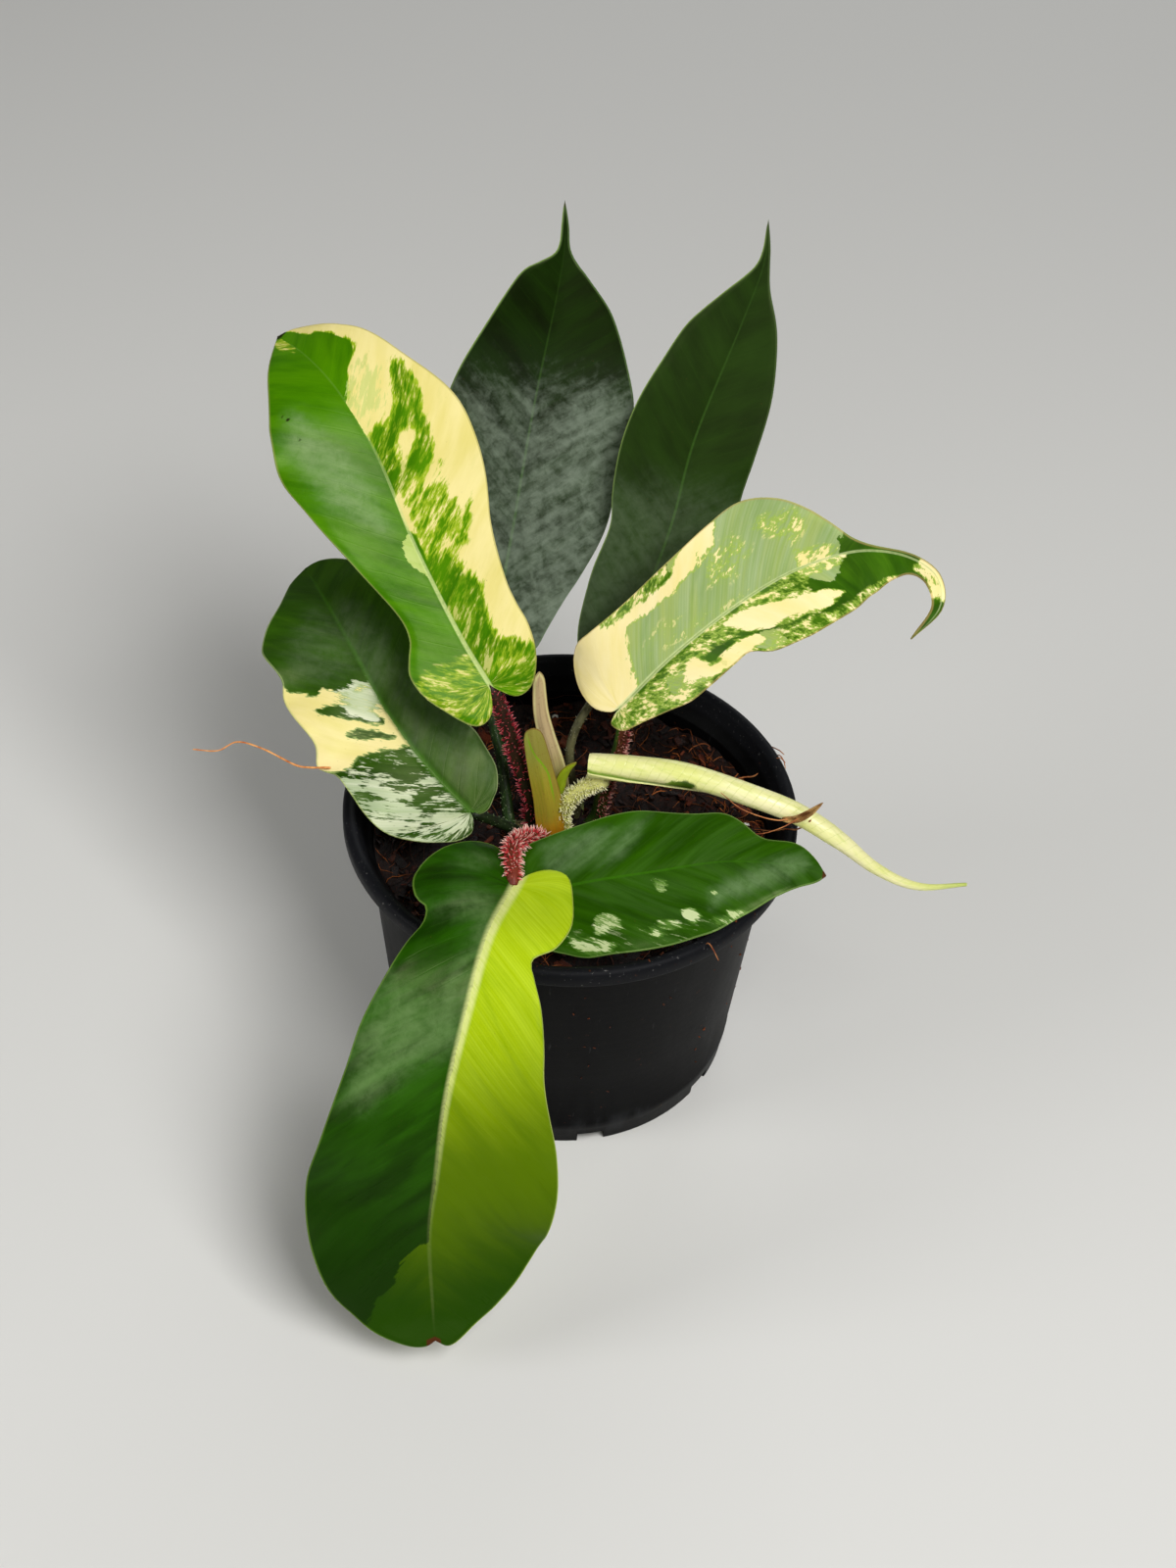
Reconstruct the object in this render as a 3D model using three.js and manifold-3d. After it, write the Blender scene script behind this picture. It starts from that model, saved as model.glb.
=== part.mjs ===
// A potted variegated philodendron squamiferum: seven open leaves, one leaf still rolled, their bristly
// petioles, a short creeping stem and its sheath leaves, in a black nursery pot of coco husk mix.
// Millimetres, +Z up, the origin at the centre of the pot's base, the viewer on the -Y side.
import * as THREE from "three";
import { mergeVertices } from "three/addons/utils/BufferGeometryUtils.js";
import Module from "manifold-3d";

const wasm = await Module();
wasm.setup();

// Driving dimensions
const GAP = 0.3; // clearance between neighbouring pieces
const ALIKE = 1e-3; // points nearer than this are one point
const POT_HEIGHT = 114;
const RIM_RADIUS = 80; // outside of the rolled rim, a 6 inch nursery pot
const RIM_WIDTH = 5;
const LIP_HEIGHT = 6.5;
const WALL_TOP_RADIUS = 71.8; // outside of the wall where it starts to flare into the lip
const FLARE_LEVEL = 103;
const BASE_RADIUS = 63;
const WALL = 1.4;
const FLOOR = 2.4;
const POT_SIDES = 60;
const DRAIN_SLOTS = 8;
const DRAIN_SLOT = [10, 9, 5]; // along the edge, into the pot, up

const SOIL_LEVEL = 98.5;
const SOIL_BUMP = 1.3;
const SOIL_MOUND = 2; // how much higher the mix stands round the stem
const SOIL_MOUND_SPREAD = 500; // square millimetres
const SOIL_SIDES = 36;
const SOIL_RINGS = 5;
const CHIPS = 34;
const CHIP_LENGTH = [5, 11];
const CHIP_WIDTH = [3.5, 7];
const CHIP_HEIGHT = [2, 3.6];
const CHIP_TILT = 0.5;

const BLADE_THICKNESS = 0.8;
const BLADE_STATIONS = { lobe: 5, main: 18, tip: 2 }; // side veins to each half's edge
const BLADE_COLUMNS = [0, 0.1, 0.55, 1]; // from the rib to the edge
const WAVE_HALF = 30; // distance from the rib where a margin wave has its full height
const WAVE_SHIFT = 1.7; // how far the right half's waves run ahead of the left half's
const TIP_FAN = 0.985; // share of the rib where the last side veins start
const VEIN_SLANT = 0.45; // how far forward a side vein runs for each millimetre outwards
const KEEL = 1.5; // midrib's height under the blade, at the base

const PETIOLE_SIDES = 7;
const BRISTLE_LENGTH = 2.7;
const BRISTLE_RADIUS = 0.75;
const BRISTLE_ROOT = 1; // how deep a bristle starts inside the petiole
const BRISTLE_LEAN = 0.45;
const BRISTLE_REACH = [0.06, 0.93]; // the shares of the petiole that have bristles
const GOLDEN_TURN = 2.4; // radians from one bristle or chip to the next

// The leaves
// rib: the midrib's points from the petiole's joint to the tip. face: the way the upper side looks,
// at the base and at the tip. cup: how far the halves rise from the rib. left and right: each half's
// edge on the flattened blade, from the notch at the joint round the basal lobe to the tip,
// as [distance along the rib, distance from the rib]. wave: height, length and phase of the margin's waves.
const LEAVES = [
  {
    name: "leaf_1",
    colour: 0x8fae6a,
    rib: [
      [-29.5, 4, 163.5], [-40.5, 14, 176.5], [-56, 30, 199], [-70.5, 47, 224.5],
      [-84, 60, 239], [-96.5, 74, 243], [-108.5, 90, 239.5],
    ],
    face: [[0.05, -0.75, 0.65], [-0.2, -0.2, 0.95]],
    cup: 0.15,
    wave: [1.6, 46, 0.6],
    left: [
      [-4, 1.5], [-8.5, 4], [-10.5, 8], [-9, 12], [-3, 16], [7, 20.5], [15, 21.5], [20, 19], [26, 15.5],
      [35, 15.5], [53, 21], [73, 28.5], [91, 32.5], [105, 29], [125, 17.5], [141, 6],
    ],
    right: [
      [-3, 1.5], [-7.5, 5], [-8.5, 9], [-6, 14], [2, 19.5], [11, 22], [20, 22], [29, 22.5], [46, 25.5],
      [66, 31], [80, 32.5], [91, 31.5], [105, 26], [120, 20.5], [130, 15], [145, 6],
    ],
    petiole: {
      colour: 0x9a4a3c,
      points: [
        [-10, 0, 94], [-12.5, -1.5, 103.5], [-14.5, -1, 117], [-17, 0, 126],
        [-20, 1, 135.5], [-25.5, 3, 154], [-29.5, 4.5, 163],
      ],
      radii: [2.9, 2.2],
      bristles: 32,
    },
  },
  {
    name: "leaf_2",
    colour: 0x46702f,
    rib: [
      [-30, 38, 159.5], [-25.5, 56, 187.5], [-20, 74, 227], [-14, 86, 262.5], [-12, 92, 279.5],
      [-12.5, 98, 292.5],
    ],
    face: [[0.1, -0.85, 0.5], [0.15, -0.85, 0.5]],
    cup: 0.2,
    wave: [1.2, 52, 2.2],
    left: [
      [-4, 2], [-8, 6], [-8.5, 11], [-5, 16], [3, 20], [14, 22.5], [26, 25], [40, 29], [54, 31], [68, 31.5],
      [79, 30], [91, 27], [104, 22], [117, 16.5], [124, 12.5], [127.5, 7.5],
      [130.5, 3], [134, 1.5], [140, 1],
    ],
    right: [
      [-4, 2], [-8, 6], [-8.5, 11], [-4, 15.5], [3, 18], [14, 22], [24, 26], [40, 31], [53, 32.5], [68, 32.5],
      [85, 33], [99, 28], [114, 19.5], [124, 9.5], [127.5, 5.5], [130.5, 2.9], [134, 1.5], [140, 1],
    ],
    petiole: {
      colour: 0x7f9a58,
      points: [
        [-18, -4, 92], [-21, -3, 101.5], [-22.7, 2, 109.5], [-25.7, 12, 123.5],
        [-28.5, 18, 131], [-31, 29, 146], [-30, 37.5, 159],
      ],
      radii: [2.1, 1.8],
      bristles: 20,
    },
  },
  {
    name: "leaf_3",
    colour: 0x3c5233,
    rib: [
      [15.5, 34, 155.5], [28.5, 52, 195], [35, 64, 225.5], [47.5, 80, 260], [53.5, 88, 279],
      [54, 94, 292],
    ],
    face: [[0.05, -0.85, 0.5], [0.05, -0.85, 0.5]],
    cup: 0.2,
    wave: [1.0, 55, 4.0],
    left: [
      [-4, 2], [-8, 6], [-8, 11], [-4, 15.5], [4, 18.5], [14, 20], [26, 21], [42, 20.5], [55, 23], [71, 24],
      [86, 23], [99, 20.5], [114, 17], [126, 10.4], [134.5, 5], [139.5, 2.2], [145, 1],
    ],
    right: [
      [-4, 2], [-8, 6], [-8, 11], [-4, 15.5], [4, 18.5], [16, 19.5], [32, 19.5], [48, 20], [64, 20.5],
      [81, 21], [101, 19], [121, 12], [133, 4.6], [140, 2], [146, 1],
    ],
    petiole: {
      colour: 0x7d8064,
      points: [
        [3, 1, 93], [2.5, 5, 101], [0.5, 7.5, 112], [-1, 9.5, 122], [-1.3, 11, 130.5],
        [1, 14, 138.5], [4.5, 18, 143.5], [10.5, 26.5, 150.5], [15.5, 33.5, 155],
      ],
      radii: [1.6, 1.5],
      bristles: 8,
    },
  },
  {
    name: "leaf_4",
    colour: 0xb9c49a,
    rib: [
      [15, 4, 156], [30.5, 8, 176], [49, 12, 195], [66.5, 14, 210], [83.5, 14, 219.5], [95, 12, 223],
      [105.5, 8, 223.5], [112.5, 1, 222], [113.5, -6, 215.5], [106, -9, 204.5],
    ],
    face: [[-0.4, -0.5, 0.75], [0.3, -0.8, 0.3]],
    cup: 0.15,
    wave: [1.5, 44, 1.2],
    left: [
      [-4, 1.5], [-8, 7], [-8, 15], [-4, 22.5], [2, 26.5], [10, 26], [21, 25], [35, 24.5], [48, 25], [62, 27],
      [73, 28], [82, 24], [88.5, 18], [94, 11], [99.5, 4], [107, 1.2], [120, 1.2], [138, 1.2],
    ],
    right: [
      [-4, 0.8], [-6, 2.5], [-3, 7.5], [5, 10.5], [16, 14.5], [24, 17], [34, 17], [44, 16], [51, 15.5],
      [58, 19.5], [67, 21], [78, 21.2], [94, 18.5], [106, 13.8], [114, 8], [121, 4.4], [132, 4], [142, 2],
    ],
    petiole: {
      colour: 0x9c6b4a,
      points: [
        [4.5, 0.5, 94], [6.5, 1.5, 100], [9.5, 3, 105], [11, 3.5, 115],
        [15, 4, 134], [16.5, 4.5, 147], [15, 4.5, 155.5],
      ],
      radii: [2.6, 2.2],
      bristles: 30,
    },
  },
  {
    name: "leaf_5",
    colour: 0x66794f,
    rib: [
      [-34.5, -12, 118], [-49.5, -2, 128], [-65.5, 12, 141], [-75.5, 24.5, 151], [-89, 46, 158],
      [-100.5, 69, 156],
    ],
    face: [[0, -0.4, 0.9], [-0.1, -0.4, 0.9]],
    cup: 0.12,
    wave: [2.2, 24, 0.3],
    left: [
      [-3, 1.5], [-5.5, 5], [-4, 11], [2, 18.5], [9, 24], [15, 27], [23, 28], [31, 27.5], [37, 27.5],
      [42, 31], [48, 27.5], [58, 29.5], [65, 29.5], [71, 27], [80, 28.5], [86, 28], [92, 24], [100, 15.5],
      [111, 8],
    ],
    right: [
      [-2.5, 1.5], [-3.5, 5], [-2, 9], [0.5, 13.5], [7, 18.5], [19, 20.5], [31, 19.5], [45, 21], [60, 23.5],
      [75, 24.5], [90, 22.5], [102, 18], [110, 13], [116, 6],
    ],
    petiole: {
      colour: 0x8da35e,
      points: [[-13, -4.5, 96], [-17.5, -6, 103], [-25, -8.5, 110], [-34, -12, 117.4]],
      radii: [2, 1.8],
      bristles: 6,
    },
  },
  {
    name: "leaf_6",
    colour: 0x3f5a2c,
    rib: [
      [-9.5, -47.5, 117], [7.5, -44.5, 121], [29, -42, 125], [52.5, -37.5, 127], [73.5, -36.5, 126],
      [87.5, -36.5, 122],
    ],
    face: [[0, -0.3, 0.95], [0, -0.3, 0.95]],
    cup: -0.05,
    wave: [1.2, 36, 2.6],
    left: [
      [-3, 2], [-6, 6], [-6, 12], [-1.5, 18], [8, 20.5], [17, 22], [29, 23.5], [42, 23.5], [57, 19.5],
      [65, 18.5], [70, 15.5], [77, 9.5], [88, 9], [95, 5],
    ],
    right: [
      [-3, 1.5], [-7, 5], [-8, 11], [-3, 18], [5, 23], [13, 26.5], [26, 27], [37, 26.5], [48, 25.5], [58, 24],
      [72, 18], [82, 11.5], [90, 7], [96, 3.5],
    ],
    petiole: {
      colour: 0x86764a,
      points: [[-5, -9, 96], [-6, -17, 102], [-8, -28, 106], [-9.5, -40, 111], [-9.7, -46.5, 116.2]],
      radii: [2, 1.8],
      bristles: 0,
    },
  },
  {
    name: "leaf_7",
    colour: 0x7c9a3f,
    rib: [
      [-17.5, -56.5, 129], [-24, -80.5, 132], [-29, -103.5, 121], [-34, -120.5, 98], [-36.5, -132.5, 71],
      [-38, -140.5, 51], [-36, -151.5, 27], [-34.5, -158.5, 17],
    ],
    face: [[0, -0.35, 0.94], [0, -0.9, 0.45]],
    cup: 0.1,
    wave: [0.9, 50, 0.4],
    left: [
      [-3, 1], [-9, 3.5], [-13.5, 9], [-12.5, 15.5], [-3, 20], [11, 24], [23, 22.5], [30, 16.5], [37, 19],
      [45, 23], [56, 27], [66, 29.5], [80, 34], [94, 38], [108, 39.8], [122, 38.6], [132, 36.4], [141, 32.6],
      [151, 26.4], [163, 16], [170, 8.5], [172.5, 4],
    ],
    right: [
      [-5, 1.5], [-12, 6], [-15.5, 12], [-12, 20.5], [-1, 27.5], [14, 29.5], [21, 26], [23, 21.5], [28, 20.5],
      [35, 23.5], [46, 27], [62, 31], [78, 33], [96, 37], [112, 40.5], [124, 40.5], [138, 37], [152, 31.5],
      [164, 22], [171, 11], [172.5, 4],
    ],
    petiole: {
      colour: 0xb98a62,
      points: [
        [-9, -6, 96], [-9.7, -12.5, 106], [-14, -23, 118],
        [-18, -36, 127.5], [-18, -45, 130], [-17, -55.5, 128.6],
      ],
      radii: [2.7, 2.2],
      bristles: 32,
    },
  },
];

// The new leaf is still rolled round itself: a thick quill with a seam that winds along it.
const ROLLED_LEAF = {
  points: [
    [5.3, -6.2, 138.3], [19, -7.5, 139], [40, -10, 139], [63, -15.5, 136], [78.5, -18, 131],
    [92.5, -22, 124], [106, -24.5, 114], [121, -25, 107], [139, -20, 104],
  ],
  radii: [4.6, 5, 5, 4.5, 4.3, 4.1, 3.7, 2.6, 1.9, 1.3, 0.7],
  overlap: 0.17, // how much thinner the inner turn is
  twist: 2.4,
  sides: 12,
  steps: 18,
};
const ROLLED_PETIOLE = {
  colour: 0xd7cf9d,
  points: [
    [-2.5, -3, 99], [-2.8, -3.2, 104], [-3.1, -3.5, 109.2], [-2.4, -4, 113.9], [-1.2, -4.7, 118.2],
    [1.2, -5.4, 122.8], [4.5, -6, 126.8], [8, -6.5, 129.8], [12.5, -6.8, 131.4],
  ],
  radii: [2.7, 2.3],
  bristles: 30,
};

// Sheath leaves at the crown, each a cupped strip: spine, half widths from foot to point, and cup.
const SHEATHS = [
  {
    name: "sheath_front",
    colour: 0xb2a04c,
    rib: [
      [-6, -9.5, 102.5], [-6.7, -9.2, 110], [-8, -8.5, 121],
      [-10.8, -7.2, 134.5], [-13.2, -6, 146.5], [-14.3, -5, 152.6],
    ],
    face: [[0.1, -1, 0.2], [0.1, -1, 0.2]],
    cup: -0.5,
    half: [[0, 3.2], [3, 5.2], [12, 5.6], [26, 5.1], [38, 4.5], [45, 3.9], [48.5, 3], [50, 1.8]],
  },
  {
    name: "sheath_back",
    colour: 0xc4b48a,
    rib: [
      [-4.8, 0.5, 98], [-4.6, 0.3, 107], [-4.5, 0.3, 118], [-6.2, 1.2, 130],
      [-9.6, 3, 143], [-11.4, 4, 151], [-12.2, 4.5, 159], [-12.8, 5, 169.5],
    ],
    face: [[0.3, -1, 0.2], [0.3, -1, 0.2]],
    cup: -0.45,
    half: [[0, 3], [4, 4.6], [16, 5], [28, 4.3], [40, 3.4], [52, 2.9], [62, 2.5], [68, 2.1], [70.5, 1.3]],
  },
  {
    name: "sheath_tip",
    colour: 0xbfc85a,
    rib: [
      [-5.3, -3.6, 113.5], [-4.7, -3.7, 119], [-4, -3.9, 124],
      [-3.4, -4.3, 128.6], [-1.8, -5.6, 134.4], [1.2, -7.3, 140.1],
    ],
    face: [[0.2, -1, 0.1], [0.2, -1, 0.1]],
    cup: -0.4,
    half: [[0, 1.4], [4, 1.9], [12, 2], [18, 1.8], [23, 1.2], [26.5, 0.6]],
  },
];

// The stem creeps just under the mix and shows its top between the petioles.
const STEM = {
  points: [[-33, 8, 74], [-24, 3, 87], [-13, -3, 95], [-2, -3, 96], [8, 0, 91]],
  radii: [6, 7.5, 8.6, 8.4, 6.5],
};

// Loose bits that lie on the plant.
const DRY_ROOT = {
  points: [
    [-82.6, -9.2, 132.9], [-85, -9.45, 133.1], [-90, -10, 133.3], [-95, -9.7, 134], [-106, -6, 137],
    [-115, -4.3, 138], [-122, -5, 134], [-131, -3, 132],
  ],
  radius: 0.55,
};
const DRY_FLAKE = {
  rib: [[72.3, -21.9, 132.9], [76.5, -23.6, 135.2], [80.5, -25, 140], [84, -26, 146]],
  face: [[-0.2, -0.7, 0.7], [-0.5, -0.7, 0.3]],
  cup: 0.3,
  half: [[0, 1.2], [3, 2.2], [9, 2.6], [14, 1.8]],
};
const PERLITE = [[-8, 58, 1.4], [63, 7, 1.4], [22, -30, 1.6]]; // x, y and radius of each white grain
const GRAIN_SHAPE = [1, 0.8, 0.75];
const GRAIN_RISE = 0.9; // how far a grain's middle stands above the mix

// Helpers
function random(seed) {
  let s = seed >>> 0;
  return () => {
    s = (s + 0x6d2b79f5) >>> 0;
    let t = Math.imul(s ^ (s >>> 15), 1 | s);
    t = (t + Math.imul(t ^ (t >>> 7), 61 | t)) ^ t;
    return ((t ^ (t >>> 14)) >>> 0) / 4294967296;
  };
}

const vec = (p) => new THREE.Vector3(...p);
const curveOf = (points) => new THREE.CatmullRomCurve3(points.map(vec), false, "catmullrom", 0.5);
const mix = (a, b, t) => a + (b - a) * t;

// A value read off a list that is spread evenly over 0 to 1.
function along(list, u) {
  const f = Math.min(Math.max(u, 0), 1) * (list.length - 1);
  const i = Math.min(Math.floor(f), list.length - 2);
  return mix(list[i], list[i + 1], f - i);
}

// A closed geometry from points and triangles.
function closedGeometry(points, triangles) {
  const g = new THREE.BufferGeometry();
  g.setAttribute("position", new THREE.Float32BufferAttribute(points.flatMap((p) => [p.x, p.y, p.z]), 3));
  g.setIndex(triangles.flat());
  return g;
}

// A solid from a closed geometry, without the triangles that have no area.
function solid(geometry, matrix) {
  const bare = new THREE.BufferGeometry();
  bare.setAttribute("position", geometry.getAttribute("position").clone());
  if (geometry.index) bare.setIndex(geometry.index.clone());
  if (matrix) bare.applyMatrix4(matrix);
  const merged = mergeVertices(bare, ALIKE);
  const at = merged.index.array;
  const kept = [];
  for (let i = 0; i < at.length; i += 3) {
    const [a, b, c] = [at[i], at[i + 1], at[i + 2]];
    if (a !== b && b !== c && a !== c) kept.push(a, b, c);
  }
  return new wasm.Manifold(
    new wasm.Mesh({
      numProp: 3,
      vertProperties: merged.attributes.position.array,
      triVerts: new Uint32Array(kept),
    }),
  );
}

// The largest body of a solid: what a cut leaves loose is dropped.
function largest(body) {
  const bodies = body.decompose();
  return bodies.reduce((a, b) => (b.volume() > a.volume() ? b : a));
}

function geometryOf(body) {
  const m = body.getMesh();
  const g = new THREE.BufferGeometry();
  g.setAttribute("position", new THREE.BufferAttribute(new Float32Array(m.vertProperties), 3));
  g.setIndex(new THREE.BufferAttribute(new Uint32Array(m.triVerts), 1));
  return g;
}

// A closed loft: section(u) gives the ring's [across, up] points at share u of the curve.
function loft(curve, steps, section) {
  const frames = curve.computeFrenetFrames(steps, false);
  const points = [];
  const triangles = [];
  let sides = 0;
  for (let i = 0; i <= steps; i++) {
    const u = i / steps;
    const centre = curve.getPointAt(u);
    const ring = section(u);
    sides = ring.length;
    for (const [a, b] of ring) {
      const point = centre.clone().addScaledVector(frames.normals[i], a);
      points.push(point.addScaledVector(frames.binormals[i], b));
    }
  }
  for (let i = 0; i < steps; i++)
    for (let j = 0; j < sides; j++) {
      const a = i * sides + j, b = i * sides + ((j + 1) % sides);
      triangles.push([a, b, b + sides], [a, b + sides, a + sides]);
    }
  for (const [at, i] of [[0, 0], [1, steps]]) {
    points.push(curve.getPointAt(at));
    const centre = points.length - 1;
    for (let j = 0; j < sides; j++) {
      const a = i * sides + j, b = i * sides + ((j + 1) % sides);
      triangles.push(at ? [a, b, centre] : [b, a, centre]);
    }
  }
  return closedGeometry(points, triangles);
}

const circle = (r, sides) =>
  Array.from({ length: sides }, (_, j) => {
    const t = (j / sides) * 2 * Math.PI;
    return [r * Math.cos(t), r * Math.sin(t)];
  });

const tube = (points, radii, sides, steps, extra = 0) =>
  solid(loft(curveOf(points), steps, (u) => circle(along(radii, u) + extra, sides)));

// Blades
// The blade's middle surface: x along the rib (negative behind the joint), w across it.
function bladeSurface({ rib, face, cup, wave = [0, 1, 0] }) {
  const curve = curveOf(rib);
  curve.arcLengthDivisions = 400;
  const length = curve.getLength();
  const [faceBase, faceTip] = face.map(vec);
  const flat = Math.sqrt(1 - Math.min(0.9, cup * cup));
  const at = (x, w) => {
    const xc = Math.min(Math.max(x, 0), length);
    const u = xc / length;
    const t = curve.getTangentAt(u);
    const p = curve.getPointAt(u).addScaledVector(t, x - xc);
    const n = faceBase.clone().lerp(faceTip, u);
    n.addScaledVector(t, -n.dot(t)).normalize();
    const side = new THREE.Vector3().crossVectors(t, n);
    const [height, spacing, phase] = wave;
    const turn = (2 * Math.PI * x) / spacing + phase + (w > 0 ? WAVE_SHIFT : 0);
    const ripple = height * (w / WAVE_HALF) ** 2 * Math.sin(turn);
    return p.addScaledVector(side, w * flat).addScaledVector(n, cup * Math.abs(w) + ripple);
  };
  const normal = (x, w) => {
    const along = at(x + 0.5, w).sub(at(x - 0.5, w));
    const across = at(x, w + 0.5).sub(at(x, w - 0.5));
    return across.cross(along).normalize();
  };
  return { at, normal, length };
}

// One half's edge as stations {r, x, w}: a side vein leaves the rib at r and meets the edge at (x, w).
// The basal lobe's veins fan out from the joint and the last few from just before the tip, so both
// halves share the same points on the rib.
function edgeStations(outline, sign, length, { lobe, main, tip }, grow) {
  const points = [[0, 0], ...outline, [length, 0]].map(([x, w]) => new THREE.Vector3(x, sign * w, 0));
  const dense = new THREE.CatmullRomCurve3(points, false, "catmullrom", 0.5).getPoints(points.length * 24);
  const foot = []; // where the side vein to each point would leave the rib, never going back
  dense.forEach((p, i) => foot.push(Math.max(i ? foot[i - 1] : 0, p.x - VEIN_SLANT * Math.abs(p.y))));
  const indexAt = (r) => {
    const i = foot.findIndex((f) => f >= r && f > 0);
    if (i < 1) return dense.length - 1;
    return i - 1 + Math.min(1, Math.max(0, (r - foot[i - 1]) / (foot[i] - foot[i - 1])));
  };
  const pointAt = (f) => {
    const i = Math.min(Math.floor(f), dense.length - 2);
    return dense[i].clone().lerp(dense[i + 1], f - i);
  };
  const lastRib = TIP_FAN * length;
  const [lobeEnd, tipStart] = [indexAt(0), indexAt(lastRib)];
  const stations = [];
  const add = (r, f) => {
    const p = pointAt(f);
    if (grow) {
      const run = pointAt(Math.min(f + 1, dense.length - 1)).sub(pointAt(Math.max(f - 1, 0))).normalize();
      p.x -= sign * run.y * grow;
      p.y = sign * Math.max(0.05, sign * p.y + run.x * grow);
    }
    stations.push(f ? { r, x: p.x, w: p.y } : { r, x: -grow, w: 0 });
  };
  for (let i = 0; i < lobe; i++) add(0, (lobeEnd * i) / lobe);
  for (let i = 0; i < main; i++) add((lastRib * i) / main, i ? indexAt((lastRib * i) / main) : lobeEnd);
  for (let i = 0; i < tip; i++) add(lastRib, mix(tipStart, dense.length - 1, i / tip));
  stations.push({ r: lastRib, x: length, w: 0 });
  return stations;
}

// The midrib rises just past the joint and runs out at the tip.
const keelShare = (u) => Math.min(1, Math.max(0, u) / 0.05) * Math.max(0, 1 - u) ** 0.8;

// A blade is a thin closed body: the same triangles on both faces, a narrow wall round the edge, and
// the midrib standing out underneath.
const BLADE_SHAPE = { stations: BLADE_STATIONS, columns: BLADE_COLUMNS, keel: KEEL, extra: 0, grow: 0 };

function blade(spec, shape) {
  const { stations, columns, keel, extra, grow } = { ...BLADE_SHAPE, ...shape };
  const surface = bladeSurface(spec);
  const half = BLADE_THICKNESS / 2 + extra;
  const points = [];
  const triangles = [];
  for (const sign of [-1, 1]) {
    const edge = edgeStations(sign < 0 ? spec.left : spec.right, sign, surface.length, stations, grow);
    const top = [], bottom = [];
    for (const { r, x, w } of edge) {
      const rows = columns.map((q) => {
        const px = mix(r, x, q), pw = w * q;
        const p = surface.at(px, pw), n = surface.normal(px, pw);
        const ridge = pw === 0 ? keel * keelShare(px / surface.length) : 0;
        points.push(p.clone().addScaledVector(n, half), p.clone().addScaledVector(n, -half - ridge));
        return points.length - 2;
      });
      top.push(rows);
      bottom.push(rows.map((i) => i + 1));
    }
    const face = (a, b, c) => triangles.push(sign > 0 ? [a, b, c] : [a, c, b]);
    const last = columns.length - 1;
    for (let i = 0; i + 1 < edge.length; i++) {
      const [t, u, b, c] = [top[i], top[i + 1], bottom[i], bottom[i + 1]];
      for (let j = 0; j < last; j++) {
        face(t[j], t[j + 1], u[j + 1]);
        face(t[j], u[j + 1], u[j]);
        face(b[j], c[j + 1], b[j + 1]);
        face(b[j], c[j], c[j + 1]);
      }
      face(t[last], c[last], u[last]);
      face(t[last], b[last], c[last]);
    }
  }
  return solid(closedGeometry(points, triangles));
}

// A sheath is a small blade with two like halves and no midrib.
const SHEATH_SHAPE = { stations: { lobe: 1, main: 8, tip: 1 }, columns: [0, 0.5, 1], keel: 0 };

const strip = (spec, shape) =>
  blade({ ...spec, left: spec.half, right: spec.half }, { ...SHEATH_SHAPE, ...shape });

// Petioles
// Soft bristles stand out of the petiole all round and lean towards the blade.
function bristled(core, { points, radii, bristles }, seed, lowest) {
  const curve = curveOf(points);
  const draw = random(seed);
  let body = core;
  for (let i = 0; i < bristles; i++) {
    const u = mix(...BRISTLE_REACH, (i + draw()) / bristles);
    const angle = i * GOLDEN_TURN + draw() * 0.8;
    const p = curve.getPointAt(u), t = curve.getTangentAt(u);
    const length = BRISTLE_LENGTH * mix(0.75, 1.15, draw());
    if (p.z < lowest) continue;
    const a = new THREE.Vector3(0, 0, 1).cross(t).normalize();
    const b = t.clone().cross(a);
    const out = a.multiplyScalar(Math.cos(angle)).addScaledVector(b, Math.sin(angle));
    const lean = out.clone().addScaledVector(t, BRISTLE_LEAN).normalize();
    const root = p.addScaledVector(out, along(radii, u) - BRISTLE_ROOT);
    const whole = length + BRISTLE_ROOT;
    const cone = new THREE.ConeGeometry(BRISTLE_RADIUS, whole, 3).translate(0, whole / 2, 0);
    const turn = new THREE.Quaternion().setFromUnitVectors(new THREE.Vector3(0, 1, 0), lean);
    body = body.add(solid(cone, new THREE.Matrix4().compose(root, turn, new THREE.Vector3(1, 1, 1))));
  }
  return body;
}

// Pot
const wallAt = (z) => mix(BASE_RADIUS, WALL_TOP_RADIUS, z / FLARE_LEVEL);

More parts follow.
